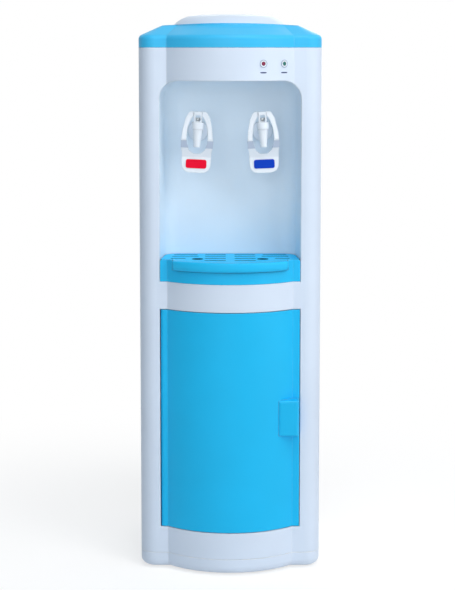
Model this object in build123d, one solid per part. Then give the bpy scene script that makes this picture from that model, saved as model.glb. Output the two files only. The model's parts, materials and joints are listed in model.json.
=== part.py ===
from build123d import *
from math import asin, atan2, cos, degrees, radians, sin, sqrt, tan
import os

# Floor-standing bottled-water dispenser with a storage cabinet, in millimetres.
# X runs to the viewer's right, the front faces -Y and Z is up.
# The origin is on the floor under the middle of the whole object.

# Overall sizes
BODY_WIDTH = 310.0
PANEL_HEIGHT = 870.0  # front, side and back panels
FRONT_BOW = 41.0  # middle of the front, ahead of the flat pillars
BOW_MARGIN = 48.0  # end of the bow, in from the side
CORNER_RADIUS = 27.0
MIN_CORNER = 6.0
WALL = 3.0  # moulded panels
SHEET = 1.2  # pressed steel panels
SEAM = 0.2  # clearance between pieces that are fixed to each other
MOVING_GAP = 0.5  # clearance between pieces that move past each other
OVERSHOOT = 1.0  # how far a cutting shape runs past what it cuts

# Plinth and feet
FOOT_HEIGHT = 3.0
FOOT_RADIUS = 14.0
FOOT_INSET = 42.0
PLINTH_HEIGHT = 26.0
PLINTH_ROUND = 12.0
PLINTH_RIM = 4.0

# Front panel, from the top down
HEADER_HEIGHT = 55.0
RECESS_HEIGHT = 341.0
BAND_HEIGHT = 47.0  # white band between tray and door
SILL_HEIGHT = 46.0  # white strip under the door
PILLAR_WIDTH = 35.0
PANEL_RETURN = 40.0  # how far the front panel wraps round the sides
PANEL_LAP = 8.0  # side panel tongue behind the front panel

# Tap recess
RECESS_DEPTH = 80.0  # from the pillars
RECESS_TAPER = 8.0  # each side wall leans in by this much
RECESS_CORNER = 31.0  # upper corners, seen from the front
RECESS_RADIUS = 26.0  # edges of the back wall
LINER_WALL = 2.5

# Top cover and bottle collar
COVER_BAND = 19.5
COVER_ROOF = 18.0
ROOF_INSET = 39.0
REAR_ROOF_INSET = 8.0
CREASE_RADIUS = 8.0  # rounding between band and roof
CREASE_STEPS = 4
CROWN = 3.5
COLLAR_RADIUS = 100.0
COLLAR_HEIGHT = 20.0
COLLAR_CREST_RADIUS = 58.0
COLLAR_WALL = 3.0
COLLAR_SKIRT = 26.0  # bottle socket below the seat of the collar
SOCKET_RADIUS = 30.0
COVER_HOLE_RADIUS = 84.0
PROBE_RADIUS = 9.0
PROBE_HEIGHT = 34.0
PROBE_FLANGE = 2.5

# Door
DOOR_GAP = 1.0
DOOR_EDGE = 12.0
DOOR_WALL = 3.0
DOOR_PIN_RADIUS = 3.0
DOOR_PIN_LENGTH = 11.0
PIN_CLEARANCE = 0.06
HANDLE_WIDTH = 35.0
HANDLE_HEIGHT = 62.5
HANDLE_ABOVE_DOOR_BASE = 162.5
HANDLE_MARGIN = 2.0
HANDLE_PROUD = 1.5  # ahead of the bow at the block's inner end
HANDLE_ROUND = 4.0
HANDLE_SCOOP_RADIUS = 9.0
HANDLE_SCOOP_DEPTH = 5.0
CATCH_HEIGHT = 20.0
CATCH_WIDTH = 11.0
CATCH_DEPTH = 16.0
STRIKE_THICKNESS = 1.0
RIB_THICKNESS = 2.0
RIB_COUNT = 4

# Cabinet
CABINET_WALL = 2.0
CABINET_DEPTH = 225.0

# Drip tray
TRAY_RISE = 38.0  # tray top above the recess opening's lower edge
APRON_CORNER = 4.0
APRON_FLANGE = 20.0
APRON_FLANGE_THICKNESS = 2.3
LIP_HALF = 97.0
LIP_HEIGHT = 16.0
LIP_OUT = 6.0  # lip ahead of the bowed front
LIP_ROUND = 3.5
TRAY_WALL = 2.0
GRILLE_THICKNESS = 4.0
SLOT_WIDTH = 6.0
SLOT_ROWS = (18.0, 38.0, 65.0, 92.0)  # distance from the back of the recess
INNER_SLOT = (7.0, 44.0)  # near and far end of a slot beside the middle bar
OUTER_SLOTS = ((56.0, 98.0), (54.0, 101.0), (76.0, 102.0))
HOLE_RADIUS = 10.0

# Rear fittings
REAR_OUT = 14.0  # drain cap behind the back panel
REAR_FLANGE = 14.0
SCREW_RADIUS = 2.0
SCREW_HEAD_RADIUS = 3.6
SCREW_HEAD = 2.0
SCREW_LENGTH = 6.0
SCREW_ROWS = 4
SCREW_MARGIN = 40.0
VENT_WIDTH = 70.0
VENT_SLOT = 4.0
VENT_PITCH = 9.0
VENT_COUNT = 8
VENT_RISE = 40.0  # lower vent group above the cabinet
SWITCH_X = 80.0
SWITCH_RISE = 105.0  # above the cabinet
SWITCH_WIDTH = 47.0
SWITCH_HEIGHT = 28.0
SWITCH_BEZEL = 3.0
SWITCH_BEZEL_THICKNESS = 2.5
SWITCH_DEPTH = 16.0
ROCKER_WIDTH = 19.2
ROCKER_HALF_HEIGHT = 10.5
ROCKER_TILT = 8.0
ROCKER_PROUD = 1.5  # its ends ahead of the frame
ROCKER_DISH = 2.0
ROCKER_SIDE_DEPTH = 3.0  # behind the pivot
ROCKER_HEEL_DEPTH = 7.0
ROCKER_PIN_RADIUS = 1.5
ROCKER_PIN_LENGTH = 1.2
ROCKER_AXIS_DEPTH = 2.0  # pivot inside the back panel
GLAND_X = 100.0
GLAND_RISE = 40.0
GLAND_RADIUS = 8.0
GLAND_FLANGE_RADIUS = 11.0
GLAND_FLANGE = 3.0
GLAND_BORE = 3.6
GLAND_OUT = 9.0
SPIGOT_RADIUS = 7.0
SPIGOT_FLANGE_RADIUS = 10.0
SPIGOT_FLANGE = 2.0
SPIGOT_OUT = 10.0
SPIGOT_IN = 10.0
CAP_RADIUS = 10.5

# Indicator lamps
LAMP_X = (55.0, 90.0)
LAMP_DROP = 26.5  # below the top of the front panel
BEZEL_RADIUS = 6.2
BEZEL_STEM_RADIUS = 4.8
BEZEL_PROUD = 1.0
LENS_RADIUS = 3.4
LENS_PROUD = 1.5
LENS_ROUND = 1.2
LAMP_LENGTH = 9.0
LAMP_BOARD_HALF = 7.0
LAMP_BOARD_THICKNESS = 1.6

# Taps, with heights measured from the shank axis
TAP_X = 55.5
TAP_DROP = 143.5  # shank axis below the top of the front panel
TAP_REACH = 72.0  # spout axis ahead of the back of the recess
TAP_SPLAY = 2.6  # each tap leans outward at the bottom, in degrees
SPOUT_LENGTH = 23.5
SPOUT_TIP_RADIUS = 5.6
SPOUT_TOP = 7.0
SPOUT_TOP_RADIUS = 8.2
SPOUT_BORE = 3.6
CHAMBER_RADIUS = 6.6
CHAMBER_BASE = -4.0
SHANK_RADIUS = 7.5
NECK_RADIUS = 7.6
WATERWAY_RADIUS = 2.0
FLANGE_RADIUS = 17.0
FLANGE_THICKNESS = 4.0
GASKET_THICKNESS = 1.5
GASKET_RADIUS = 16.0
NUT_RADIUS = 12.0  # to the flats
NUT_THICKNESS = 7.0
THREAD_BEYOND_NUT = 2.0
BARB_RADIUS = 3.3
BARB_LENGTH = 5.0
BONNET_RADIUS = 10.2
BONNET_HEIGHT = 11.0
LUG_HALF = 6.6
LUG_DEPTH = 14.0
LUG_HEIGHT = 18.0
LUG_WINDOW_HALF = 4.3
LUG_WINDOW_BASE = 2.0
LUG_WINDOW_HEIGHT = 10.5
LEVER_PIN_RADIUS = 1.5
LEVER_PIN_BELOW_TOP = 2.8
LEVER_PIN_HALF = 12.5
LEVER_DEPTH = 10.0
LEVER_TOP = 36.5
LEVER_TOP_HALF = 14.5
# Half width and height along the outside of the yoke
LEVER_SIDE = ((20.8, 24.5), (24.8, 6.0), (26.8, -12.5), (26.4, -26.0), (24.9, -34.0))
LEVER_CORNER = 6.0
LEVER_OPENING = (
    (8.5, 28.5),
    (13.4, 19.5),
    (16.9, 8.0),
    (18.3, -8.0),
    (17.6, -18.5),
    (13.6, -29.0),
    (6.0, -35.4),
)
LEVER_OPENING_CORNER = 4.0
PADDLE_BOTTOM = -67.8
PADDLE_HALF = 24.2
PADDLE_CORNER = 14.0
PADDLE_FRONT = 7.0  # paddle face behind the spout axis
PADDLE_THICKNESS = 6.0
PADDLE_BEND_TOP = -10.0
PADDLE_BEND_BASE = -41.0
GRIP_TOP = -13.0
GRIP_BASE = -25.3
GRIP_THICKNESS = 0.6
PAD_WIDTH = 35.0
PAD_HEIGHT = 15.0
PAD_CENTRE = -52.7
PAD_CORNER = 3.5
PAD_THICKNESS = 0.9
PLUNGER_RADIUS = 5.5
PLUNGER_THICKNESS = 4.0
STEM_RADIUS = 2.5
STEM_HEAD_RADIUS = 3.8
STEM_HEAD_BASE = 22.0
STEM_HEAD = 4.0

# Water system
TANK_RADIUS = 58.0
TANK_HEIGHT = 216.0
TANK_BELOW_COVER = 5.0
TANK_WALL = 1.5
JACKET_THICKNESS = 12.0
STUB_RADIUS = 3.3
STUB_BORE = 2.0
STUB_LENGTH = 12.0
TANK_CLEARANCE = 4.5  # foam jacket behind the recess liner
COLD_OUTLET = (30.0, -6.0)  # from the bottle axis
FILL_OUTLET = (-25.0, 9.0)
HOT_X = -60.0
HOT_SET_BACK = 14.0  # hot tank axis behind the bottle axis
HOT_RADIUS = 45.0
HOT_HEIGHT = 130.0
HOT_LEG_HEIGHT = 30.0
HOT_LEG_RADIUS = 4.0
HOT_LEG_CIRCLE = 34.0
HOT_INLET = (20.0, 10.0)  # from the hot tank axis
HOT_OUTLET = (-20.0, -15.0)
HEATER_THICKNESS = 2.8
HEATER_RISE = 25.0
HEATER_HEIGHT = 50.0
THERMOSTAT_RADIUS = 8.0
THERMOSTAT_DEPTH = 6.0
THERMOSTAT_RISES = (90.0, 112.0)
TUBE_RADIUS = 5.0
TUBE_BORE = 3.5
TUBE_BEND = 8.0
TAIL_RUN = 25.0  # upright tube behind the back of the recess
SHELF_HOLE_RADIUS = 9.0

# Cooler
COOLER_RISE = 90.0  # above the tank base
COOLER_HALF = 20.0
COOLER_REACH = 6.0  # cooler block behind the foam jacket
SINK_HALF = 33.0
SINK_BASE = 4.0
SINK_DEPTH = 16.0
FIN_COUNT = 9
FIN_THICKNESS = 2.0
FAN_DEPTH = 13.0
FAN_CLEARANCE = 7.6  # fan to the outside of the back panel
FAN_BORE = 31.0
FAN_BLADE_RADIUS = 29.0
FAN_HUB_RADIUS = 11.0
FAN_HUB_DEPTH = 7.0
FAN_BOSS_DEPTH = 3.0
FAN_SHAFT_RADIUS = 1.5
BLADE_COUNT = 7
BLADE_PITCH = 35.0
BLADE_CHORD = 8.0
BLADE_THICKNESS = 1.2
STRUT_WIDTH = 4.0

# Sizes and places that follow from the sizes above
JACKET_RADIUS = TANK_RADIUS + JACKET_THICKNESS
TANK_ROOM = LINER_WALL + TANK_CLEARANCE + 2 * JACKET_RADIUS
COOLER_ROOM = COOLER_REACH + SINK_DEPTH + FAN_DEPTH + 2 * SEAM + FAN_CLEARANCE
BODY_DEPTH = RECESS_DEPTH + TANK_ROOM + COOLER_ROOM  # flat pillars to back panel
BOW_CHORD = BODY_WIDTH - 2 * BOW_MARGIN
FLAT_Y = (FRONT_BOW + LIP_OUT - BODY_DEPTH - REAR_OUT) / 2
BACK_Y = FLAT_Y + BODY_DEPTH
FRONT_Y = FLAT_Y - FRONT_BOW
BOW_RADIUS = ((BOW_CHORD / 2) ** 2 + FRONT_BOW**2) / (2 * FRONT_BOW)
BOW_CENTRE_Y = FRONT_Y + BOW_RADIUS
SPLIT_Y = FLAT_Y + PANEL_RETURN
HALF = BODY_WIDTH / 2
PLINTH_TOP = FOOT_HEIGHT + PLINTH_HEIGHT
COVER_BASE = PLINTH_TOP + PANEL_HEIGHT
ROOF_BASE = COVER_BASE + COVER_BAND
COVER_TOP = ROOF_BASE + COVER_ROOF
RECESS_TOP = COVER_BASE - HEADER_HEIGHT
RECESS_BOTTOM = RECESS_TOP - RECESS_HEIGHT
RECESS_BACK_Y = FLAT_Y + RECESS_DEPTH
RECESS_HALF = HALF - PILLAR_WIDTH
TRAY_TOP = RECESS_BOTTOM + TRAY_RISE
APRON_FLANGE_BASE = RECESS_BOTTOM + LINER_WALL + SEAM
TRAY_BASE = APRON_FLANGE_BASE + APRON_FLANGE_THICKNESS + MOVING_GAP
DOORWAY_TOP = RECESS_BOTTOM - BAND_HEIGHT
DOORWAY_BASE = PLINTH_TOP + SILL_HEIGHT
DOORWAY_HALF = RECESS_HALF
DOOR_TOP = DOORWAY_TOP - DOOR_GAP
DOOR_BASE = DOORWAY_BASE + DOOR_GAP
DOOR_HALF = DOORWAY_HALF - DOOR_GAP
DOOR_BACK_Y = FLAT_Y + DOOR_EDGE
DOOR_AXIS_X = -DOOR_HALF + DOOR_EDGE / 2
DOOR_AXIS_Y = FLAT_Y + DOOR_EDGE / 2
CABINET_FRONT_Y = DOOR_BACK_Y + 2 * MOVING_GAP
CABINET_BACK_Y = CABINET_FRONT_Y + CABINET_DEPTH
CABINET_TOP = DOORWAY_TOP + CABINET_WALL
LAMP_Z = COVER_BASE - LAMP_DROP
TAP_Z = COVER_BASE - TAP_DROP
TAIL_END_Y = LINER_WALL + SEAM + NUT_THICKNESS + THREAD_BEYOND_NUT
BONNET_BASE = SPOUT_TOP + SEAM / 2
LUG_BASE = BONNET_BASE + BONNET_HEIGHT
LUG_TOP = LUG_BASE + LUG_HEIGHT
LEVER_PIN_Z = LUG_TOP - LEVER_PIN_BELOW_TOP
TANK_TOP = COVER_BASE - TANK_BELOW_COVER
TANK_BASE = TANK_TOP - TANK_HEIGHT
BOTTLE_AXIS_Y = RECESS_BACK_Y + LINER_WALL + TANK_CLEARANCE + JACKET_RADIUS
HOT_Y = BOTTLE_AXIS_Y + HOT_SET_BACK
TAIL_RUN_Y = RECESS_BACK_Y + TAIL_RUN
COOLER_BACK_Y = BOTTLE_AXIS_Y + JACKET_RADIUS + COOLER_REACH
HOT_BASE = CABINET_TOP + HOT_LEG_HEIGHT
HOT_TOP = HOT_BASE + HOT_HEIGHT
DRAIN_Z = HOT_BASE - STUB_LENGTH - SEAM
COOLER_Z = TANK_BASE + COOLER_RISE
SINK_Y = COOLER_BACK_Y + SEAM
FAN_Y = SINK_Y + SINK_DEPTH + SEAM
SCREW_X = HALF - SHEET - REAR_FLANGE / 2
SCREW_STEP = (PANEL_HEIGHT - 2 * SCREW_MARGIN) / (SCREW_ROWS - 1)
SCREW_HEIGHTS = [PLINTH_TOP + SCREW_MARGIN + row * SCREW_STEP for row in range(SCREW_ROWS)]
SWITCH_Z = CABINET_TOP + SWITCH_RISE
GLAND_Z = CABINET_TOP + GLAND_RISE


def block(x0, x1, y0, y1, z0, z1):
    """A box between two corners."""
    return Pos((x0 + x1) / 2, (y0 + y1) / 2, (z0 + z1) / 2) * Box(x1 - x0, y1 - y0, z1 - z0)


def post(radius, z0, z1, x=0.0, y=0.0):
    """An upright cylinder."""
    return Pos(x, y, (z0 + z1) / 2) * Cylinder(radius, z1 - z0)


def rod_y(radius, y0, y1, x=0.0, z=0.0):
    """A cylinder along Y."""
    return Pos(x, (y0 + y1) / 2, z) * Rot(90, 0, 0) * Cylinder(radius, y1 - y0)


def rod_x(radius, x0, x1, y=0.0, z=0.0):
    """A cylinder along X."""
    return Pos((x0 + x1) / 2, y, z) * Rot(0, 90, 0) * Cylinder(radius, x1 - x0)


def prism(face, z0, z1):
    """A plan outline drawn up from z0 to z1."""
    return Pos(0, 0, z0) * extrude(face, amount=z1 - z0, dir=(0, 0, 1))


def front_prism(face, y0, y1):
    """An outline seen from the front, with heights as its second coordinate, from y0 back to y1."""
    return Pos(0, y0, 0) * extrude(Plane.XZ * face, amount=y1 - y0, dir=(0, 1, 0))


def side_prism(face, x0, x1):
    """An outline seen from the side, as Y and Z, from x0 to x1."""
    return Pos(x0, 0, 0) * extrude(Plane.YZ * face, amount=x1 - x0, dir=(1, 0, 0))


def turned(points, y):
    """A solid turned round the upright axis at y, from a closed outline of radius and height."""
    outline = make_face(Plane.XZ * Polyline(*points, close=True))
    return Pos(0, y, 0) * revolve(outline, Axis.Z)


def plan_face(inset, rear_inset=0.0):
    """The plan of the body, drawn in by an inset: flat pillars, rounded corners and a bowed middle."""
    half = HALF - inset
    flat = FLAT_Y + inset
    rear = BACK_Y - rear_inset
    corner = max(CORNER_RADIUS - inset, MIN_CORNER)
    turn = corner * (1 - sqrt(0.5))
    bow = BOW_RADIUS - inset
    crease = sqrt(bow**2 - (BOW_CENTRE_Y - flat) ** 2)
    edges = [Line((-half, rear), (half, rear))]
    for side in (1, -1):
        edges += [
            Line((side * half, rear), (side * half, flat + corner)),
            ThreePointArc(
                (side * half, flat + corner),
                (side * (half - turn), flat + turn),
                (side * (half - corner), flat),
            ),
            Line((side * (half - corner), flat), (side * crease, flat)),
        ]
    edges.append(ThreePointArc((crease, flat), (0, BOW_CENTRE_Y - bow), (-crease, flat)))
    return make_face(edges)


def bowed_skin(thickness, z0, z1):
    """A wall of even thickness along the outside of the body, open at the back."""
    outer = prism(plan_face(0), z0, z1)
    return outer - prism(plan_face(thickness), z0 - OVERSHOOT, z1 + OVERSHOOT)


def make_base_plinth():
    quarter_steps = (0.0, 22.5, 45.0, 67.5, 90.0)
    sections = []
    for angle in quarter_steps:
        inset = PLINTH_ROUND * (1 - sin(radians(angle)))
        rise = PLINTH_ROUND * (1 - cos(radians(angle)))
        sections.append(Pos(0, 0, FOOT_HEIGHT + rise) * plan_face(inset, inset))
    plinth = loft(sections, ruled=True)
    plinth += prism(plan_face(0), FOOT_HEIGHT + PLINTH_ROUND, PLINTH_TOP)
    pocket_floor = FOOT_HEIGHT + PLINTH_RIM
    rim = PLINTH_RIM + PLINTH_ROUND
    pocket = loft(
        [
            Pos(0, 0, pocket_floor) * plan_face(rim, rim),
            Pos(0, 0, FOOT_HEIGHT + PLINTH_ROUND) * plan_face(PLINTH_RIM, PLINTH_RIM),
        ],
        ruled=True,
    )
    pocket += prism(
        plan_face(PLINTH_RIM, PLINTH_RIM), FOOT_HEIGHT + PLINTH_ROUND, PLINTH_TOP + OVERSHOOT
    )
    return plinth - pocket


def make_rubber_feet():
    feet = []
    for x in (-HALF + FOOT_INSET, HALF - FOOT_INSET):
        for y in (FLAT_Y + FOOT_INSET, BACK_Y - FOOT_INSET):
            feet.append(post(FOOT_RADIUS, 0, FOOT_HEIGHT, x, y))
    return feet


def recess_opening():
    """The front opening of the tap recess, with rounded upper corners."""
    opening = Pos(0, (RECESS_BOTTOM + RECESS_TOP) / 2) * Rectangle(2 * RECESS_HALF, RECESS_HEIGHT)
    return fillet(opening.vertices().group_by(Axis.Y)[-1], RECESS_CORNER)


def make_front_panel():
    panel = bowed_skin(WALL, PLINTH_TOP, COVER_BASE)
    panel -= block(-HALF, HALF, SPLIT_Y, BACK_Y + OVERSHOOT, 0, COVER_BASE + OVERSHOOT)
    # A deep frame lines the doorway.
    frame_half = DOORWAY_HALF + WALL
    frame = block(
        -frame_half, frame_half, FRONT_Y, DOOR_BACK_Y, DOORWAY_BASE - WALL, DOORWAY_TOP + WALL
    )
    panel += frame & prism(plan_face(WALL / 2), 0, COVER_BASE)
    panel -= block(
        -DOORWAY_HALF,
        DOORWAY_HALF,
        FRONT_Y - OVERSHOOT,
        DOOR_BACK_Y + OVERSHOOT,
        DOORWAY_BASE,
        DOORWAY_TOP,
    )
    panel -= front_prism(recess_opening(), FRONT_Y - OVERSHOOT, FLAT_Y + PILLAR_WIDTH / 2)
    for z in (DOORWAY_BASE - WALL, DOORWAY_TOP + WALL):
        panel -= post(DOOR_PIN_RADIUS + PIN_CLEARANCE / 2, z - WALL, z + WALL, DOOR_AXIS_X, DOOR_AXIS_Y)
    for lamp in lamp_places():
        panel -= lamp * rod_y(BEZEL_STEM_RADIUS + SEAM, -WALL, 2 * WALL)
    return panel


def recess_form(grow):
    """The space of the tap recess, grown all round by a wall, or drawn in by a negative one."""
    lean = RECESS_TAPER / RECESS_DEPTH
    front = FRONT_Y - OVERSHOOT
    front_half = RECESS_HALF + lean * (FLAT_Y - front) + grow
    back_half = RECESS_HALF - RECESS_TAPER + grow
    back = RECESS_BACK_Y + grow
    outline = Polyline(
        (-front_half, front), (front_half, front), (back_half, back), (-back_half, back), close=True
    )
    form = prism(make_face(outline), RECESS_BOTTOM + LINER_WALL - grow, RECESS_TOP + grow)
    ceiling_sides = form.edges().group_by(Axis.Z)[-1].sort_by(Axis.Y)[1:3]
    form = fillet(ceiling_sides, RECESS_CORNER + grow)
    back_wall = form.faces().sort_by(Axis.Y)[-1]
    return fillet(back_wall.edges().sort_by(Axis.Z)[1:], RECESS_RADIUS + grow)


def make_tap_recess():
    liner = recess_form(LINER_WALL) - recess_form(0)
    liner &= prism(plan_face(WALL + SEAM), 0, COVER_BASE)
    for x in (-TAP_X, TAP_X):
        liner -= rod_y(SHANK_RADIUS + SEAM, RECESS_BACK_Y - WALL, RECESS_BACK_Y + 2 * LINER_WALL, x, TAP_Z)
    return liner


def make_side_panel(side):
    inner = HALF - SHEET
    panel = block(inner, HALF, SPLIT_Y + SEAM, BACK_Y, PLINTH_TOP, COVER_BASE)
    # A joggled tongue runs behind the edge of the front panel.
    tongue_outer = HALF - WALL - SEAM
    tongue_inner = tongue_outer - SHEET
    tongue_back = SPLIT_Y + PANEL_LAP
    panel += block(
        tongue_inner, tongue_outer, SPLIT_Y - PANEL_LAP, tongue_back, PLINTH_TOP, COVER_BASE
    )
    panel += block(
        tongue_inner, HALF - SHEET / 2, tongue_back - SHEET, tongue_back, PLINTH_TOP, COVER_BASE
    )
    # A return at the rear takes the screws of the back panel.
    flange_back = BACK_Y - SHEET - SEAM
    panel += block(
        inner - REAR_FLANGE, HALF - SHEET / 2, flange_back - SHEET, flange_back, PLINTH_TOP, COVER_BASE
    )
    if side < 0:
        panel = mirror(panel, Plane.YZ)
    for z in SCREW_HEIGHTS:
        panel -= rod_y(SCREW_RADIUS + SEAM, BACK_Y - 3 * SHEET, BACK_Y - SHEET / 2, side * SCREW_X, z)
    return panel


def vent_slots(x, z):
    """A ladder of vent slots through the back panel, counted up and down from z."""
    slots = []
    for row in range(VENT_COUNT):
        height = z + (row - (VENT_COUNT - 1) / 2) * VENT_PITCH
        slot = Pos(x, height) * SlotOverall(VENT_WIDTH, VENT_SLOT)
        slots.append(front_prism(slot, BACK_Y - 2 * SHEET, BACK_Y + OVERSHOOT))
    return slots


def make_back_panel():
    half = HALF - SHEET - SEAM
    panel = block(-half, half, BACK_Y - SHEET, BACK_Y, PLINTH_TOP + SEAM, COVER_BASE - SEAM)
    cuts = vent_slots(0, COOLER_Z) + vent_slots(-VENT_WIDTH, HOT_TOP - VENT_RISE)
    cuts.append(
        block(
            SWITCH_X - SWITCH_WIDTH / 2 - SEAM,
            SWITCH_X + SWITCH_WIDTH / 2 + SEAM,
            BACK_Y - 2 * SHEET,
            BACK_Y + OVERSHOOT,
            SWITCH_Z - SWITCH_HEIGHT / 2 - SEAM,
            SWITCH_Z + SWITCH_HEIGHT / 2 + SEAM,
        )
    )
    holes = [(GLAND_RADIUS, GLAND_X, GLAND_Z), (SPIGOT_RADIUS, HOT_X, DRAIN_Z)]
    holes += [(SCREW_RADIUS, side * SCREW_X, z) for side in (-1, 1) for z in SCREW_HEIGHTS]
    for radius, x, z in holes:
        cuts.append(rod_y(radius + SEAM, BACK_Y - 2 * SHEET, BACK_Y + OVERSHOOT, x, z))
    return panel - cuts


def make_panel_screws():
    screws = []
    for side in (-1, 1):
        for z in SCREW_HEIGHTS:
            head = rod_y(SCREW_HEAD_RADIUS, BACK_Y, BACK_Y + SCREW_HEAD, side * SCREW_X, z)
            screws.append(head + rod_y(SCREW_RADIUS, BACK_Y - SCREW_LENGTH, BACK_Y, side * SCREW_X, z))
    return screws


def cover_outside():
    """The outside of the top cover, with a rounded crease between its band and its roof."""
    slope = atan2(ROOF_INSET, COVER_ROOF)
    band_top = ROOF_BASE - CREASE_RADIUS * tan(slope / 2)
    sections = []
    for step in range(CREASE_STEPS + 1):
        turn = slope * step / CREASE_STEPS
        inset = CREASE_RADIUS * (1 - cos(turn))
        rear_inset = inset * REAR_ROOF_INSET / ROOF_INSET
        sections.append(Pos(0, 0, band_top + CREASE_RADIUS * sin(turn)) * plan_face(inset, rear_inset))
    sections.append(Pos(0, 0, COVER_TOP) * plan_face(ROOF_INSET, REAR_ROOF_INSET))
    return prism(plan_face(0), COVER_BASE, band_top) + loft(sections, ruled=True)


def cover_inside():
    """The room under the top cover, one wall in from its outside."""
    band_top = ROOF_BASE - WALL / 2
    sections = [
        Pos(0, 0, band_top) * plan_face(WALL, WALL),
        Pos(0, 0, COVER_TOP - WALL) * plan_face(ROOF_INSET, REAR_ROOF_INSET + WALL),
    ]
    return prism(plan_face(WALL, WALL), COVER_BASE, band_top) + loft(sections, ruled=True)


def make_top_cover():
    cover = cover_outside() - cover_inside()
    cover -= prism(plan_face(WALL, WALL), COVER_BASE - OVERSHOOT, COVER_BASE + OVERSHOOT)
    # The roof is crowned a little across its width.
    roof_half = HALF - ROOF_INSET
    crown_radius = (roof_half**2 + CROWN**2) / (2 * CROWN)
    crown = prism(plan_face(ROOF_INSET, REAR_ROOF_INSET), COVER_TOP, COVER_TOP + CROWN)
    crown &= rod_y(crown_radius, FRONT_Y, BACK_Y, 0, COVER_TOP + CROWN - crown_radius)
    cover += crown
    seat_radius = COLLAR_RADIUS + MOVING_GAP
    cover -= post(seat_radius, COVER_TOP, COVER_TOP + 2 * CROWN, 0, BOTTLE_AXIS_Y)
    cover -= post(COVER_HOLE_RADIUS, COVER_BASE, COVER_TOP + CROWN, 0, BOTTLE_AXIS_Y)
    return cover


def make_bottle_collar():
    crest = COVER_TOP + COLLAR_HEIGHT
    rim = COLLAR_CREST_RADIUS
    seat = COVER_TOP
    socket_base = seat - COLLAR_SKIRT
    outer = SOCKET_RADIUS + COLLAR_WALL
    foot = 2.0
    shoulder_rise = 13.5
    shoulder = COLLAR_RADIUS - 15.0
    crest_drop = 1.0
    crest_width = 8.0
    ledge = 3.0
    dome_start = (COLLAR_RADIUS, seat + foot)
    dome_end = (rim, crest - crest_drop)
    inner_end = (rim, crest - crest_drop - COLLAR_WALL)
    inner_start = (COLLAR_RADIUS - COLLAR_WALL, seat)
    outside = ThreePointArc(dome_start, (shoulder, seat + shoulder_rise), dome_end)
    inside = ThreePointArc(
        inner_end, (shoulder - COLLAR_WALL / 2, seat + shoulder_rise - COLLAR_WALL), inner_start
    )
    funnel = Polyline(
        dome_end,
        (rim - crest_width / 2, crest),
        (rim - crest_width, crest - crest_drop),
        (outer, seat + foot),
        (SOCKET_RADIUS, seat - foot),
        (SOCKET_RADIUS, socket_base),
        (SOCKET_RADIUS - ledge, socket_base),
        (SOCKET_RADIUS - ledge, socket_base - ledge),
        (outer, socket_base - ledge),
        (outer, seat - foot),
        (outer + COLLAR_WALL, seat + foot),
        (rim - crest_width, crest - crest_drop - COLLAR_WALL),
        inner_end,
    )
    foot_line = Polyline(inner_start, (COLLAR_RADIUS, seat), dome_start)
    section = make_face(outside.edges() + funnel.edges() + inside.edges() + foot_line.edges())
    collar = revolve(Plane.XZ * section, Axis.Z)
    # A ring under the dome centres the collar in the hole of the cover.
    ring_radius = COVER_HOLE_RADIUS - MOVING_GAP
    ring = post(ring_radius, seat - shoulder_rise, seat + shoulder_rise - COLLAR_WALL / 2)
    collar += ring - post(ring_radius - COLLAR_WALL, 0, crest)
    return Pos(0, BOTTLE_AXIS_Y, 0) * collar


def make_bottle_probe():
    base = COVER_TOP - COLLAR_SKIRT
    top = base + PROBE_HEIGHT
    wall = 2.5
    window = 6.0
    flange_radius = SOCKET_RADIUS - SEAM
    probe = post(flange_radius, base, base + PROBE_FLANGE) + post(PROBE_RADIUS, base, top)
    probe += Pos(0, 0, top) * Sphere(PROBE_RADIUS)
    probe -= post(PROBE_RADIUS - wall, base - OVERSHOOT, top)
    for angle in (0, 60, 120):
        probe -= Pos(0, 0, top - window) * Rot(0, 0, angle) * Box(3 * PROBE_RADIUS, window, 2 * window)
    return Pos(0, BOTTLE_AXIS_Y, 0) * probe


def make_cabinet_liner():
    half = DOORWAY_HALF
    wall = CABINET_WALL
    liner = block(
        -half - wall, half + wall, CABINET_FRONT_Y, CABINET_BACK_Y, DOORWAY_BASE - wall, CABINET_TOP
    )
    # The flange meets the frame that lines the doorway.
    flange = 2 * wall
    liner += block(
        -half - flange,
        half + flange,
        DOOR_BACK_Y + SEAM,
        CABINET_FRONT_Y + wall,
        DOORWAY_BASE - flange,
        DOORWAY_TOP + flange,
    )
    liner -= block(-half, half, FLAT_Y, CABINET_BACK_Y - wall, DOORWAY_BASE, DOORWAY_TOP)
    return liner


def handle_front_y():
    """The flat face of the handle block stands proud of the bow at the block's inner end."""
    inner_x = DOOR_HALF - HANDLE_MARGIN - HANDLE_WIDTH
    return BOW_CENTRE_Y - sqrt(BOW_RADIUS**2 - inner_x**2) - HANDLE_PROUD


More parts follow.
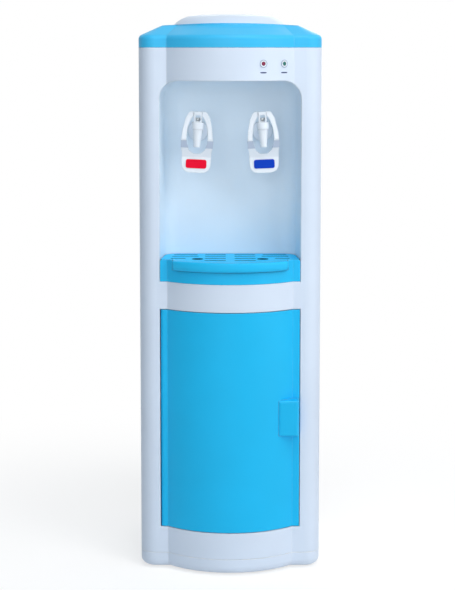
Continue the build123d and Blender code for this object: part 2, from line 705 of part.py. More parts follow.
def make_door():
    outer = prism(plan_face(0), DOOR_BASE, DOOR_TOP)
    outer &= block(-DOOR_HALF, DOOR_HALF, FRONT_Y, DOOR_BACK_Y, DOOR_BASE, DOOR_TOP)
    # The hinge edge is a half round about the pin axis.
    hinge_edges = outer.edges().filter_by(Axis.Z).group_by(Axis.X)[0]
    door = fillet(hinge_edges, DOOR_EDGE / 2 - SEAM / 10)
    pocket = prism(plan_face(DOOR_WALL), DOOR_BASE + DOOR_WALL, DOOR_TOP - DOOR_WALL)
    stile = -DOOR_HALF + DOOR_EDGE + RIB_THICKNESS
    pocket &= block(stile, DOOR_HALF - DOOR_WALL, FRONT_Y, BACK_Y, DOOR_BASE, DOOR_TOP)
    door -= pocket
    # Ribs stiffen the inside, set back from the rim.
    rib_step = (DOOR_TOP - DOOR_BASE) / (RIB_COUNT + 1)
    inside = prism(plan_face(DOOR_WALL / 2), DOOR_BASE, DOOR_TOP)
    for row in range(1, RIB_COUNT + 1):
        z = DOOR_BASE + row * rib_step
        rib = block(
            stile - RIB_THICKNESS,
            DOOR_HALF - DOOR_WALL / 2,
            FRONT_Y,
            FLAT_Y + DOOR_WALL + RIB_THICKNESS,
            z - RIB_THICKNESS / 2,
            z + RIB_THICKNESS / 2,
        )
        door += rib & inside
    # Handle block with a finger scoop on its free side.
    handle_base = DOOR_BASE + HANDLE_ABOVE_DOOR_BASE
    handle_right = DOOR_HALF - HANDLE_MARGIN
    handle_left = handle_right - HANDLE_WIDTH
    handle_top = handle_base + HANDLE_HEIGHT
    handle = block(
        handle_left, handle_right, handle_front_y(), FLAT_Y + DOOR_WALL, handle_base, handle_top
    )
    door += fillet(handle.faces().sort_by(Axis.Y)[0].edges(), HANDLE_ROUND)
    scoop_x = handle_right + HANDLE_SCOOP_RADIUS - HANDLE_SCOOP_DEPTH
    scoop_y = FLAT_Y - HANDLE_SCOOP_RADIUS / 2
    scoop = post(
        HANDLE_SCOOP_RADIUS, handle_base + DOOR_WALL, handle_top - DOOR_WALL, scoop_x, scoop_y
    )
    door -= scoop & block(handle_left, HALF, FRONT_Y, FLAT_Y, handle_base, handle_top)
    # Boss for the strike plate.
    catch_z = catch_centre_z()
    boss = block(
        DOOR_HALF - DOOR_WALL - CATCH_WIDTH,
        DOOR_HALF - DOOR_WALL / 2,
        FLAT_Y + DOOR_WALL / 2,
        DOOR_BACK_Y - STRIKE_THICKNESS,
        catch_z - CATCH_HEIGHT / 2,
        catch_z + CATCH_HEIGHT / 2,
    )
    door += boss
    for z in (DOOR_BASE, DOOR_TOP):
        reach = DOOR_PIN_LENGTH + MOVING_GAP
        door -= post(DOOR_PIN_RADIUS + PIN_CLEARANCE, z - reach, z + reach, DOOR_AXIS_X, DOOR_AXIS_Y)
    return door


def make_door_pins():
    lower = post(
        DOOR_PIN_RADIUS, DOORWAY_BASE - WALL, DOOR_BASE + DOOR_PIN_LENGTH, DOOR_AXIS_X, DOOR_AXIS_Y
    )
    upper = post(DOOR_PIN_RADIUS, DOOR_TOP - DOOR_PIN_LENGTH, DOORWAY_TOP + WALL, DOOR_AXIS_X, DOOR_AXIS_Y)
    return [lower, upper]


def catch_centre_z():
    """The catch sits behind the middle of the handle."""
    return DOOR_BASE + HANDLE_ABOVE_DOOR_BASE + HANDLE_HEIGHT / 2


def make_door_strike():
    right = DOOR_HALF - DOOR_WALL - SEAM
    z = catch_centre_z()
    half_height = CATCH_HEIGHT / 2 - SEAM
    return block(
        right - CATCH_WIDTH + 2 * SEAM,
        right,
        DOOR_BACK_Y - STRIKE_THICKNESS,
        DOOR_BACK_Y,
        z - half_height,
        z + half_height,
    )


def make_door_catch():
    right = DOORWAY_HALF - SEAM
    z = catch_centre_z()
    face = DOOR_BACK_Y + MOVING_GAP
    return block(
        right - CATCH_WIDTH - WALL,
        right,
        face,
        face + CATCH_DEPTH,
        z - CATCH_HEIGHT / 2,
        z + CATCH_HEIGHT / 2,
    )


def make_tray_apron():
    bottom = RECESS_BOTTOM + SEAM
    half = RECESS_HALF - MOVING_GAP
    outline = Pos(0, (bottom + TRAY_TOP) / 2) * Rectangle(2 * half, TRAY_TOP - bottom)
    outline = fillet(outline.vertices().group_by(Axis.Y)[-1], APRON_CORNER)
    lip_gap = 2 * MOVING_GAP
    notch_base = TRAY_TOP - LIP_HEIGHT - lip_gap
    notch_height = 2 * LIP_HEIGHT
    outline -= Pos(0, notch_base + notch_height / 2) * Rectangle(2 * (LIP_HALF + lip_gap), notch_height)
    apron = bowed_skin(WALL, bottom, TRAY_TOP) & front_prism(outline, FRONT_Y - OVERSHOOT, FLAT_Y + WALL)
    # A foot flange lies on the floor of the recess.
    flange_top = APRON_FLANGE_BASE + APRON_FLANGE_THICKNESS
    flange = prism(plan_face(WALL / 2), APRON_FLANGE_BASE, flange_top)
    flange_half = half - 2 * WALL
    flange &= block(-flange_half, flange_half, FRONT_Y, FLAT_Y + APRON_FLANGE, 0, TRAY_TOP)
    return apron + flange


def tray_space(inset, z0, z1):
    """The room for the tray inside the recess and behind the apron, drawn in by an inset."""
    return prism(plan_face(WALL + inset), z0, z1) & recess_form(-inset)


def make_drip_tray():
    top = TRAY_TOP - GRILLE_THICKNESS - SEAM
    gap = 2 * MOVING_GAP
    tray = tray_space(gap, TRAY_BASE, top)
    tray -= tray_space(gap + TRAY_WALL, TRAY_BASE + TRAY_WALL, top + OVERSHOOT)
    lip_base = TRAY_TOP - LIP_HEIGHT
    lip = prism(plan_face(-LIP_OUT), lip_base, TRAY_TOP) & block(
        -LIP_HALF, LIP_HALF, FRONT_Y - 2 * LIP_OUT, FLAT_Y + WALL, lip_base, TRAY_TOP
    )
    front_arcs = lip.edges().filter_by(GeomType.CIRCLE)
    lip = fillet(front_arcs, LIP_ROUND)
    lip -= prism(plan_face(WALL + gap), 0, COVER_BASE)
    return tray + lip


def slot_places():
    """Middle, length and distance from the back of each grille slot on the right half."""
    places = []
    for row in SLOT_ROWS:
        near, far = INNER_SLOT
        places.append(((near + far) / 2, far - near, row))
    for row, (near, far) in zip(SLOT_ROWS, OUTER_SLOTS):
        places.append(((near + far) / 2, far - near, row))
    return places


def make_drip_grille():
    top = TRAY_TOP
    base = top - GRILLE_THICKNESS
    grille = tray_space(2 * MOVING_GAP + SEAM, base, top)
    cuts = []
    for side in (-1, 1):
        for middle, length, row in slot_places():
            slot = Pos(side * middle, RECESS_BACK_Y - row) * SlotOverall(length, SLOT_WIDTH)
            cuts.append(prism(slot, base - OVERSHOOT, top + OVERSHOOT))
        hole_y = RECESS_BACK_Y - TAP_REACH
        cuts.append(post(HOLE_RADIUS, base - OVERSHOOT, top + OVERSHOOT, side * TAP_X, hole_y))
    return grille - cuts


def lamp_places():
    """Where each lamp's axis meets the bowed header, facing straight out of it."""
    places = []
    for x in LAMP_X:
        turn = asin(x / BOW_RADIUS)
        y = BOW_CENTRE_Y - BOW_RADIUS * cos(turn)
        places.append(Pos(x, y, LAMP_Z) * Rot(0, 0, degrees(turn)))
    return places


def make_lamp_bezels():
    bezel = rod_y(BEZEL_RADIUS, -BEZEL_PROUD, 0) + rod_y(BEZEL_STEM_RADIUS, 0, 2 * WALL)
    bezel -= rod_y(LENS_RADIUS + SEAM / 2, -WALL, 3 * WALL)
    return [place * bezel for place in lamp_places()]


def make_lamp_lens(place):
    lens = rod_y(LENS_RADIUS, -LENS_PROUD, LAMP_LENGTH)
    return place * fillet(lens.edges().group_by(Axis.Y)[0], LENS_ROUND)


def make_lamp_boards():
    half = LAMP_BOARD_HALF
    board = block(-half, half, LAMP_LENGTH, LAMP_LENGTH + LAMP_BOARD_THICKNESS, -half, half)
    return [place * board for place in lamp_places()]


def tap_place(side):
    """The tap's own frame: the shank axis at the back wall, leaning outward at the bottom."""
    return Pos(side * TAP_X, RECESS_BACK_Y, TAP_Z) * Rot(0, -side * TAP_SPLAY, 0)


def make_tap_body():
    spout = turned(
        [
            (SPOUT_BORE, -SPOUT_LENGTH),
            (SPOUT_TIP_RADIUS, -SPOUT_LENGTH),
            (SPOUT_TOP_RADIUS, SPOUT_TOP / 2),
            (SPOUT_TOP_RADIUS, SPOUT_TOP),
            (CHAMBER_RADIUS, SPOUT_TOP),
            (CHAMBER_RADIUS, CHAMBER_BASE),
            (SPOUT_BORE, CHAMBER_BASE),
        ],
        -TAP_REACH,
    )
    flange_front = -GASKET_THICKNESS - FLANGE_THICKNESS
    neck = rod_y(NECK_RADIUS, -TAP_REACH, flange_front)
    neck += rod_y(FLANGE_RADIUS, flange_front, -GASKET_THICKNESS)
    neck += rod_y(SHANK_RADIUS, -GASKET_THICKNESS, TAIL_END_Y)
    neck += rod_y(BARB_RADIUS, TAIL_END_Y, TAIL_END_Y + BARB_LENGTH)
    neck -= post(CHAMBER_RADIUS, CHAMBER_BASE, SPOUT_LENGTH, 0, -TAP_REACH)
    neck -= post(SPOUT_BORE, -SPOUT_LENGTH, CHAMBER_BASE, 0, -TAP_REACH)
    neck -= post(BONNET_RADIUS + SEAM, SPOUT_TOP, SPOUT_LENGTH, 0, -TAP_REACH)
    return spout + neck - rod_y(WATERWAY_RADIUS, -TAP_REACH, TAIL_END_Y + 2 * BARB_LENGTH)


def make_tap_bonnet():
    bonnet = post(BONNET_RADIUS, BONNET_BASE, LUG_BASE)
    bonnet += block(-LUG_HALF, LUG_HALF, -LUG_DEPTH / 2, LUG_DEPTH / 2, LUG_BASE, LUG_TOP)
    window_base = LUG_BASE + LUG_WINDOW_BASE
    bonnet -= block(
        -LUG_WINDOW_HALF,
        LUG_WINDOW_HALF,
        -LUG_DEPTH,
        LUG_DEPTH,
        window_base,
        window_base + LUG_WINDOW_HEIGHT,
    )
    bonnet -= post(STEM_RADIUS + SEAM, SPOUT_TOP - OVERSHOOT, window_base + OVERSHOOT)
    bonnet -= rod_x(LEVER_PIN_RADIUS + PIN_CLEARANCE / 2, -BONNET_RADIUS, BONNET_RADIUS, 0, LEVER_PIN_Z)
    return Pos(0, -TAP_REACH, 0) * bonnet


def mirrored_outline(points, radius, base_radius):
    """A closed outline from the points of its right half, with its lowest corners rounded more."""
    left = [(-x, z) for x, z in reversed(points)]
    outline = make_face(Polyline(*points, *left, close=True))
    outline = fillet(outline.vertices().sort_by(Axis.Y)[2:], radius)
    return fillet(outline.vertices().group_by(Axis.Y)[0], base_radius)


def lever_form(grow):
    """The yoke lever, thickened all round by a sleeve."""
    right_side = [(LEVER_TOP_HALF, LEVER_TOP), *LEVER_SIDE, (PADDLE_HALF, PADDLE_BOTTOM)]
    outside = mirrored_outline(right_side, LEVER_CORNER, PADDLE_CORNER)
    opening = mirrored_outline(LEVER_OPENING, LEVER_OPENING_CORNER, LEVER_OPENING_CORNER)
    back = PADDLE_FRONT + PADDLE_THICKNESS
    half = LEVER_DEPTH / 2
    profile = make_face(
        Polyline(
            (-half, LEVER_TOP + OVERSHOOT),
            (half, LEVER_TOP + OVERSHOOT),
            (half, PADDLE_BEND_TOP),
            (back, PADDLE_BEND_BASE),
            (back, PADDLE_BOTTOM - OVERSHOOT),
            (PADDLE_FRONT, PADDLE_BOTTOM - OVERSHOOT),
            (PADDLE_FRONT, PADDLE_BEND_BASE),
            (-half, PADDLE_BEND_TOP),
            close=True,
        )
    )
    if grow:
        outside = offset(outside, grow)
        opening = offset(opening, -grow)
        profile = offset(profile, grow)
    reach = 2 * LEVER_TOP
    lever = front_prism(outside, -reach, reach) & side_prism(profile, -reach, reach)
    lever -= front_prism(opening, -reach, reach)
    return Pos(0, -TAP_REACH, 0) * lever


def make_tap_lever():
    lever = lever_form(0)
    slot = LUG_HALF + MOVING_GAP
    reach = 2 * LEVER_TOP
    lever -= block(-slot, slot, -TAP_REACH - reach, -TAP_REACH + reach, 0, reach)
    return lever - rod_x(LEVER_PIN_RADIUS + PIN_CLEARANCE, -reach, reach, -TAP_REACH, LEVER_PIN_Z)


def make_lever_grips():
    reach = 2 * LEVER_TOP
    slab = block(-reach, reach, -TAP_REACH - reach, -TAP_REACH + reach, GRIP_BASE, GRIP_TOP)
    return ((lever_form(GRIP_THICKNESS) - lever_form(0)) & slab).solids()


def make_lever_pad():
    face = PADDLE_FRONT - TAP_REACH
    pad = Pos(0, PAD_CENTRE) * RectangleRounded(PAD_WIDTH, PAD_HEIGHT, PAD_CORNER)
    return front_prism(pad, face - PAD_THICKNESS, face)


def make_valve_plunger():
    base = CHAMBER_BASE + SEAM
    plunger = post(PLUNGER_RADIUS, base, base + PLUNGER_THICKNESS)
    plunger += post(STEM_RADIUS, base, STEM_HEAD_BASE + STEM_HEAD)
    plunger += post(STEM_HEAD_RADIUS, STEM_HEAD_BASE, STEM_HEAD_BASE + STEM_HEAD)
    return Pos(0, -TAP_REACH, 0) * plunger


def make_lever_pin():
    return rod_x(LEVER_PIN_RADIUS, -LEVER_PIN_HALF, LEVER_PIN_HALF, -TAP_REACH, LEVER_PIN_Z)


def make_tap_gasket():
    return rod_y(GASKET_RADIUS, -GASKET_THICKNESS, 0) - rod_y(SHANK_RADIUS + SEAM, -WALL, WALL)


def make_tap_nut():
    start = LINER_WALL + SEAM
    nut = front_prism(RegularPolygon(NUT_RADIUS, 6, major_radius=False), start, start + NUT_THICKNESS)
    return nut - rod_y(SHANK_RADIUS + SEAM, 0, start + 2 * NUT_THICKNESS)


def stub(x, y, z0, z1):
    """A short pipe end on a tank, before its bore is cut."""
    return post(STUB_RADIUS, z0, z1, x, y)


def cold_outlets():
    """Where the two stubs leave the bottom of the cold tank."""
    return [(x, BOTTLE_AXIS_Y + y) for x, y in (COLD_OUTLET, FILL_OUTLET)]


def hot_stubs():
    """Where the two stubs leave the top of the hot tank."""
    return [(HOT_X + x, HOT_Y + y) for x, y in (HOT_INLET, HOT_OUTLET)]


def make_cold_tank():
    tank = post(TANK_RADIUS, TANK_BASE, TANK_TOP, 0, BOTTLE_AXIS_Y)
    tank -= post(TANK_RADIUS - TANK_WALL, TANK_BASE + TANK_WALL, TANK_TOP + OVERSHOOT, 0, BOTTLE_AXIS_Y)
    for x, y in cold_outlets():
        tank += stub(x, y, TANK_BASE - STUB_LENGTH, TANK_BASE + TANK_WALL)
        tank -= post(STUB_BORE, TANK_BASE - 2 * STUB_LENGTH, TANK_BASE + 2 * TANK_WALL, x, y)
    return tank


def make_tank_jacket():
    base = TANK_BASE + SEAM
    jacket = post(JACKET_RADIUS, base, TANK_TOP - JACKET_THICKNESS, 0, BOTTLE_AXIS_Y)
    jacket -= post(TANK_RADIUS + SEAM, TANK_BASE, TANK_TOP, 0, BOTTLE_AXIS_Y)
    half = COOLER_HALF + SEAM
    return jacket - block(-half, half, BOTTLE_AXIS_Y, BACK_Y, COOLER_Z - half, COOLER_Z + half)


def make_tank_shelf():
    half = HALF - SHEET - SEAM
    front = RECESS_BACK_Y + LINER_WALL + SEAM
    back = BACK_Y - 2 * SHEET - 2 * SEAM
    shelf = block(-half, half, front, back, TANK_BASE - SHEET - SEAM, TANK_BASE - SEAM)
    holes = cold_outlets() + [(side * TAP_X, TAIL_RUN_Y) for side in (-1, 1)]
    return shelf - [post(SHELF_HOLE_RADIUS, TANK_BASE - TANK_WALL * 2, TANK_BASE, x, y) for x, y in holes]


def make_hot_tank():
    tank = post(HOT_RADIUS, HOT_BASE, HOT_TOP, HOT_X, HOT_Y)
    for angle in (30, 150, 270):
        x = HOT_X + HOT_LEG_CIRCLE * cos(radians(angle))
        y = HOT_Y + HOT_LEG_CIRCLE * sin(radians(angle))
        tank += post(HOT_LEG_RADIUS, CABINET_TOP + SEAM, HOT_BASE, x, y)
    for x, y in hot_stubs():
        tank += stub(x, y, HOT_TOP, HOT_TOP + STUB_LENGTH)
    tank += stub(HOT_X, HOT_Y, HOT_BASE - STUB_LENGTH / 2, HOT_BASE)
    tank -= post(HOT_RADIUS - TANK_WALL, HOT_BASE + TANK_WALL, HOT_TOP - TANK_WALL, HOT_X, HOT_Y)
    for x, y in hot_stubs():
        tank -= post(STUB_BORE, HOT_TOP - 2 * TANK_WALL, HOT_TOP + 2 * STUB_LENGTH, x, y)
    return tank - post(STUB_BORE, HOT_BASE - STUB_LENGTH, HOT_BASE + 2 * TANK_WALL, HOT_X, HOT_Y)


def make_heater_band():
    base = HOT_BASE + HEATER_RISE
    inner = HOT_RADIUS + SEAM
    band = post(inner + HEATER_THICKNESS, base, base + HEATER_HEIGHT, HOT_X, HOT_Y)
    return band - post(inner, HOT_BASE, HOT_TOP, HOT_X, HOT_Y)


def make_thermostats():
    back = HOT_Y - HOT_RADIUS - SEAM
    return [
        rod_y(THERMOSTAT_RADIUS, back - THERMOSTAT_DEPTH, back, HOT_X, HOT_BASE + rise)
        for rise in THERMOSTAT_RISES
    ]


def make_tube(points):
    """A hose along straight runs joined by bends."""
    path = FilletPolyline(*points, radius=TUBE_BEND)
    start = Plane(origin=path @ 0, z_dir=path % 0)
    return sweep(start * (Circle(TUBE_RADIUS) - Circle(TUBE_BORE)), path)


def make_cold_feed_tube():
    x, y = cold_outlets()[0]
    top = TANK_BASE - 2 * SEAM - SHEET
    low = top - 4 * TUBE_BEND
    tail = RECESS_BACK_Y + TAIL_END_Y + SEAM
    return make_tube(
        [
            (x, y, top),
            (x, y, low),
            (TAP_X, TAIL_RUN_Y, low),
            (TAP_X, TAIL_RUN_Y, TAP_Z),
            (TAP_X, tail, TAP_Z),
        ]
    )


def make_hot_feed_tube():
    x, y = hot_stubs()[1]
    start = HOT_TOP + SEAM
    crossing = start + 4 * TUBE_BEND
    tail = RECESS_BACK_Y + TAIL_END_Y + SEAM
    return make_tube(
        [
            (x, y, start),
            (x, y, crossing),
            (-TAP_X, TAIL_RUN_Y, crossing),
            (-TAP_X, TAIL_RUN_Y, TAP_Z),
            (-TAP_X, tail, TAP_Z),
        ]
    )


def make_hot_fill_tube():
    top_x, top_y = cold_outlets()[1]
    low_x, low_y = hot_stubs()[0]
    top = TANK_BASE - 2 * SEAM - SHEET
    base = HOT_TOP + SEAM
    middle = (top + base) / 2
    return make_tube(
        [
            (top_x, top_y, top),
            (top_x, top_y, middle + TUBE_BEND),
            (low_x, low_y, middle - TUBE_BEND),
            (low_x, low_y, base),
        ]
    )


def make_drain_tube():
    end = BACK_Y - SPIGOT_IN - SEAM
    return make_tube([(HOT_X, HOT_Y, HOT_BASE - SEAM), (HOT_X, HOT_Y, DRAIN_Z), (HOT_X, end, DRAIN_Z)])


def make_drain_spigot():
    spigot = rod_y(BARB_RADIUS, BACK_Y - SPIGOT_IN - BARB_LENGTH, BACK_Y - SPIGOT_IN, HOT_X, DRAIN_Z)
    spigot += rod_y(SPIGOT_RADIUS, BACK_Y - SPIGOT_IN, BACK_Y + SPIGOT_OUT, HOT_X, DRAIN_Z)
    spigot += rod_y(SPIGOT_FLANGE_RADIUS, BACK_Y, BACK_Y + SPIGOT_FLANGE, HOT_X, DRAIN_Z)
    return spigot - rod_y(WATERWAY_RADIUS, BACK_Y - 3 * SPIGOT_IN, BACK_Y + 2 * SPIGOT_OUT, HOT_X, DRAIN_Z)


def make_drain_cap():
    start = BACK_Y + SPIGOT_FLANGE + SEAM
    cap = rod_y(CAP_RADIUS, start, BACK_Y + REAR_OUT, HOT_X, DRAIN_Z)
    return cap - rod_y(SPIGOT_RADIUS + MOVING_GAP / 2, BACK_Y, BACK_Y + SPIGOT_OUT + SEAM, HOT_X, DRAIN_Z)


def make_cooler_block():
    half = COOLER_HALF
    body = block(-half, half, BOTTLE_AXIS_Y, COOLER_BACK_Y, COOLER_Z - half, COOLER_Z + half)
    return body - post(TANK_RADIUS + SEAM, TANK_BASE, TANK_TOP, 0, BOTTLE_AXIS_Y)


def make_heat_sink():
    half = SINK_HALF
    sink = block(-half, half, SINK_Y, SINK_Y + SINK_BASE, -half, half)
    step = (2 * half - FIN_THICKNESS) / (FIN_COUNT - 1)
    for fin in range(FIN_COUNT):
        x = -half + fin * step
        sink += block(x, x + FIN_THICKNESS, SINK_Y, SINK_Y + SINK_DEPTH, -half, half)
    return Pos(0, 0, COOLER_Z) * sink


def make_fan_frame():
    half = SINK_HALF
    back = FAN_Y + FAN_DEPTH
    boss_front = back - FAN_BOSS_DEPTH
    frame = block(-half, half, FAN_Y, back, -half, half)
    frame -= rod_y(FAN_BORE, FAN_Y - OVERSHOOT, back + OVERSHOOT)
    frame += rod_y(FAN_HUB_RADIUS, boss_front, back)
    for angle in (90, 210, 330):
        strut = block(0, FAN_BORE + OVERSHOOT, boss_front, back, -STRUT_WIDTH / 2, STRUT_WIDTH / 2)
        frame += Rot(0, angle, 0) * strut
    frame += rod_y(FAN_SHAFT_RADIUS, boss_front - FAN_HUB_DEPTH, back)
    return Pos(0, 0, COOLER_Z) * frame


def make_fan_rotor():
    hub_back = FAN_Y + FAN_DEPTH - FAN_BOSS_DEPTH - MOVING_GAP
    hub_front = hub_back - FAN_HUB_DEPTH
    rotor = rod_y(FAN_HUB_RADIUS, hub_front, hub_back)
    blade_length = FAN_BLADE_RADIUS - FAN_HUB_RADIUS + OVERSHOOT
    blade_x = FAN_HUB_RADIUS - OVERSHOOT + blade_length / 2
    blade = Rot(BLADE_PITCH, 0, 0) * Box(blade_length, BLADE_CHORD, BLADE_THICKNESS)
    blade = Pos(blade_x, (hub_front + hub_back) / 2, 0) * blade
    for number in range(BLADE_COUNT):
        rotor += Rot(0, number * 360 / BLADE_COUNT, 0) * blade
    rotor -= rod_y(FAN_SHAFT_RADIUS + PIN_CLEARANCE, hub_front - OVERSHOOT, hub_back + OVERSHOOT)
    return Pos(0, 0, COOLER_Z) * rotor


def rocker_centres():
    """Middle of each rocker across the switch frame."""
    pitch = SWITCH_WIDTH / 2 - MOVING_GAP
    return [SWITCH_X - pitch / 2, SWITCH_X + pitch / 2]


def make_switch_frame():
    half_width = SWITCH_WIDTH / 2
    half_height = SWITCH_HEIGHT / 2
    frame = block(-half_width, half_width, BACK_Y - SWITCH_DEPTH, BACK_Y, -half_height, half_height)
    frame += block(
        -half_width - SWITCH_BEZEL,
        half_width + SWITCH_BEZEL,
        BACK_Y,
        BACK_Y + SWITCH_BEZEL_THICKNESS,
        -half_height - SWITCH_BEZEL,
        half_height + SWITCH_BEZEL,
    )
    frame = Pos(SWITCH_X, 0, SWITCH_Z) * frame
    pocket_half = ROCKER_HALF_HEIGHT + 2 * MOVING_GAP
    pocket_width = ROCKER_WIDTH / 2 + MOVING_GAP
    axis_y = BACK_Y - ROCKER_AXIS_DEPTH
    for x in rocker_centres():
        frame -= block(
            x - pocket_width,
            x + pocket_width,
            BACK_Y - SWITCH_DEPTH + WALL,
            BACK_Y + 2 * SWITCH_BEZEL_THICKNESS,
            SWITCH_Z - pocket_half,
            SWITCH_Z + pocket_half,
        )
        reach = ROCKER_WIDTH / 2 + ROCKER_PIN_LENGTH + SEAM
        frame -= rod_x(ROCKER_PIN_RADIUS + PIN_CLEARANCE, x - reach, x + reach, axis_y, SWITCH_Z)
    return frame


def make_rocker(x):
    """A rocker resting with its lower end pressed in."""
    half = ROCKER_HALF_HEIGHT
    crown = ROCKER_AXIS_DEPTH + SWITCH_BEZEL_THICKNESS + ROCKER_PROUD
    outline = Polyline(
        (crown, half),
        (crown - ROCKER_DISH, 0),
        (crown, -half),
        (-ROCKER_SIDE_DEPTH, -half),
        (-ROCKER_HEEL_DEPTH, 0),
        (-ROCKER_SIDE_DEPTH, half),
        close=True,
    )
    rocker = side_prism(make_face(outline), -ROCKER_WIDTH / 2, ROCKER_WIDTH / 2)
    pin_half = ROCKER_WIDTH / 2 + ROCKER_PIN_LENGTH
    rocker += rod_x(ROCKER_PIN_RADIUS, -pin_half, pin_half)
    return Pos(x, BACK_Y - ROCKER_AXIS_DEPTH, SWITCH_Z) * Rot(-ROCKER_TILT, 0, 0) * rocker


def make_cord_gland():
    gland = rod_y(GLAND_RADIUS, BACK_Y - GLAND_OUT, BACK_Y + GLAND_OUT, GLAND_X, GLAND_Z)
    gland += rod_y(GLAND_FLANGE_RADIUS, BACK_Y, BACK_Y + GLAND_FLANGE, GLAND_X, GLAND_Z)
    return gland - rod_y(GLAND_BORE, BACK_Y - 2 * GLAND_OUT, BACK_Y + 2 * GLAND_OUT, GLAND_X, GLAND_Z)


def collect_nodes():
    """Every node of the dispenser by name, as one shape or a list of separate solids."""
    lamps = lamp_places()
    rockers = rocker_centres()
    nodes = {
        "base_plinth": make_base_plinth(),
        "rubber_feet": make_rubber_feet(),
        "front_panel": make_front_panel(),
        "tap_recess": make_tap_recess(),
        "side_panel_left": make_side_panel(-1),
        "side_panel_right": make_side_panel(1),
        "back_panel": make_back_panel(),
        "panel_screws": make_panel_screws(),
        "top_cover": make_top_cover(),
        "bottle_collar": make_bottle_collar(),
        "bottle_probe": make_bottle_probe(),
        "cabinet_liner": make_cabinet_liner(),
        "door": make_door(),
        "door_pins": make_door_pins(),
        "door_strike": make_door_strike(),
        "door_catch": make_door_catch(),
        "tray_apron": make_tray_apron(),
        "drip_tray": make_drip_tray(),
        "drip_grille": make_drip_grille(),
        "lamp_bezels": make_lamp_bezels(),
        "hot_lamp_lens": make_lamp_lens(lamps[0]),
        "cold_lamp_lens": make_lamp_lens(lamps[1]),
        "lamp_boards": make_lamp_boards(),
        "cold_tank": make_cold_tank(),
        "tank_jacket": make_tank_jacket(),
        "tank_shelf": make_tank_shelf(),
        "hot_tank": make_hot_tank(),
        "heater_band": make_heater_band(),
        "thermostats": make_thermostats(),
        "cold_feed_tube": make_cold_feed_tube(),
        "hot_feed_tube": make_hot_feed_tube(),
        "hot_fill_tube": make_hot_fill_tube(),
        "drain_tube": make_drain_tube(),
        "drain_spigot": make_drain_spigot(),
        "drain_cap": make_drain_cap(),
        "cooler_block": make_cooler_block(),
        "heat_sink": make_heat_sink(),
        "fan_frame": make_fan_frame(),
        "fan_rotor": make_fan_rotor(),
        "switch_frame": make_switch_frame(),
        "hot_switch_rocker": make_rocker(rockers[0]),
        "cold_switch_rocker": make_rocker(rockers[1]),
        "cord_gland": make_cord_gland(),
    }
    for name, side in (("hot", -1), ("cold", 1)):
        place = tap_place(side)
        nodes[f"{name}_tap_body"] = place * make_tap_body()
        nodes[f"{name}_tap_bonnet"] = place * make_tap_bonnet()
        nodes[f"{name}_tap_lever"] = place * make_tap_lever()
        nodes[f"{name}_lever_grips"] = [place * grip for grip in make_lever_grips()]
        nodes[f"{name}_lever_pad"] = place * make_lever_pad()
        nodes[f"{name}_valve_plunger"] = place * make_valve_plunger()
    taps = [tap_place(side) for side in (-1, 1)]
    nodes["lever_pins"] = [place * make_lever_pin() for place in taps]
    nodes["tap_gaskets"] = [place * make_tap_gasket() for place in taps]
    nodes["tap_nuts"] = [place * make_tap_nut() for place in taps]
    return nodes


os.makedirs("parts", exist_ok=True)
for node, shape in collect_nodes().items():
    solid = Compound(children=shape) if isinstance(shape, list) else shape
    export_step(solid, f"parts/{node}.step")
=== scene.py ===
import bpy
import bmesh
import json
from math import asin, atan, cos, pi, radians, sin, sqrt
from mathutils import Matrix, Vector


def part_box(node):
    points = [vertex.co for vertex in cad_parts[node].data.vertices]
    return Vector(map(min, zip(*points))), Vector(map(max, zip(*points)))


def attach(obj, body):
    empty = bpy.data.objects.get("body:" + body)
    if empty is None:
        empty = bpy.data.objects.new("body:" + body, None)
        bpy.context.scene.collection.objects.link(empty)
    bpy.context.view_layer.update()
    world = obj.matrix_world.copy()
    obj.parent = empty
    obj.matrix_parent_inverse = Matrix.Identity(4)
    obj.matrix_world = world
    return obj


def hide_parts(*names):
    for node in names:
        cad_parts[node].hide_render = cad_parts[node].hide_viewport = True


# Looks of the water dispenser, in metres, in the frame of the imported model:
# X to the viewer's right, front towards -Y, Z up, floor at zero.

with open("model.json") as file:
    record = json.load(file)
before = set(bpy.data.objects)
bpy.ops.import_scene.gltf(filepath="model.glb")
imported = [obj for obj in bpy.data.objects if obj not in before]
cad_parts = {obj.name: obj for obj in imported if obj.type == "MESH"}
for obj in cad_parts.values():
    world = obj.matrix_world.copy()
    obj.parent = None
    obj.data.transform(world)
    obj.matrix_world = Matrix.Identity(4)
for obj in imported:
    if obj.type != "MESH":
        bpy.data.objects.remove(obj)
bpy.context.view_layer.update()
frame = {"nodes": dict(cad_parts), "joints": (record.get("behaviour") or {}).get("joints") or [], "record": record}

# Camera of the photograph
CAMERA_PLACE = (-0.00456, -2.7185, 0.899)
CAMERA_PITCH = 6.09  # degrees down
CAMERA_LENS = 94.22
CAMERA_SHIFT_Y = -0.14

# Lamps aimed at the object's middle: place, width and height, power, colour
OBJECT_MIDDLE = (0.0, 0.0, 0.5)
LAMPS = {
    "key_light": ((1.5, -1.7, 2.2), (1.2, 1.2), 15.0, (1.0, 0.99, 0.98)),
    "side_light": ((1.75, -1.4, 0.7), (1.6, 1.8), 9.0, (1.0, 1.0, 1.0)),
    "fill_light": ((-0.35, -2.8, 1.2), (1.7, 1.7), 15.0, (0.96, 0.98, 1.0)),
    "top_light": ((0.3, -1.0, 2.9), (0.9, 0.9), 19.0, (0.98, 0.99, 1.0)),
    "rear_light": ((0.5, 2.4, 1.2), (1.6, 1.8), 16.0, (1.0, 1.0, 1.0)),
}

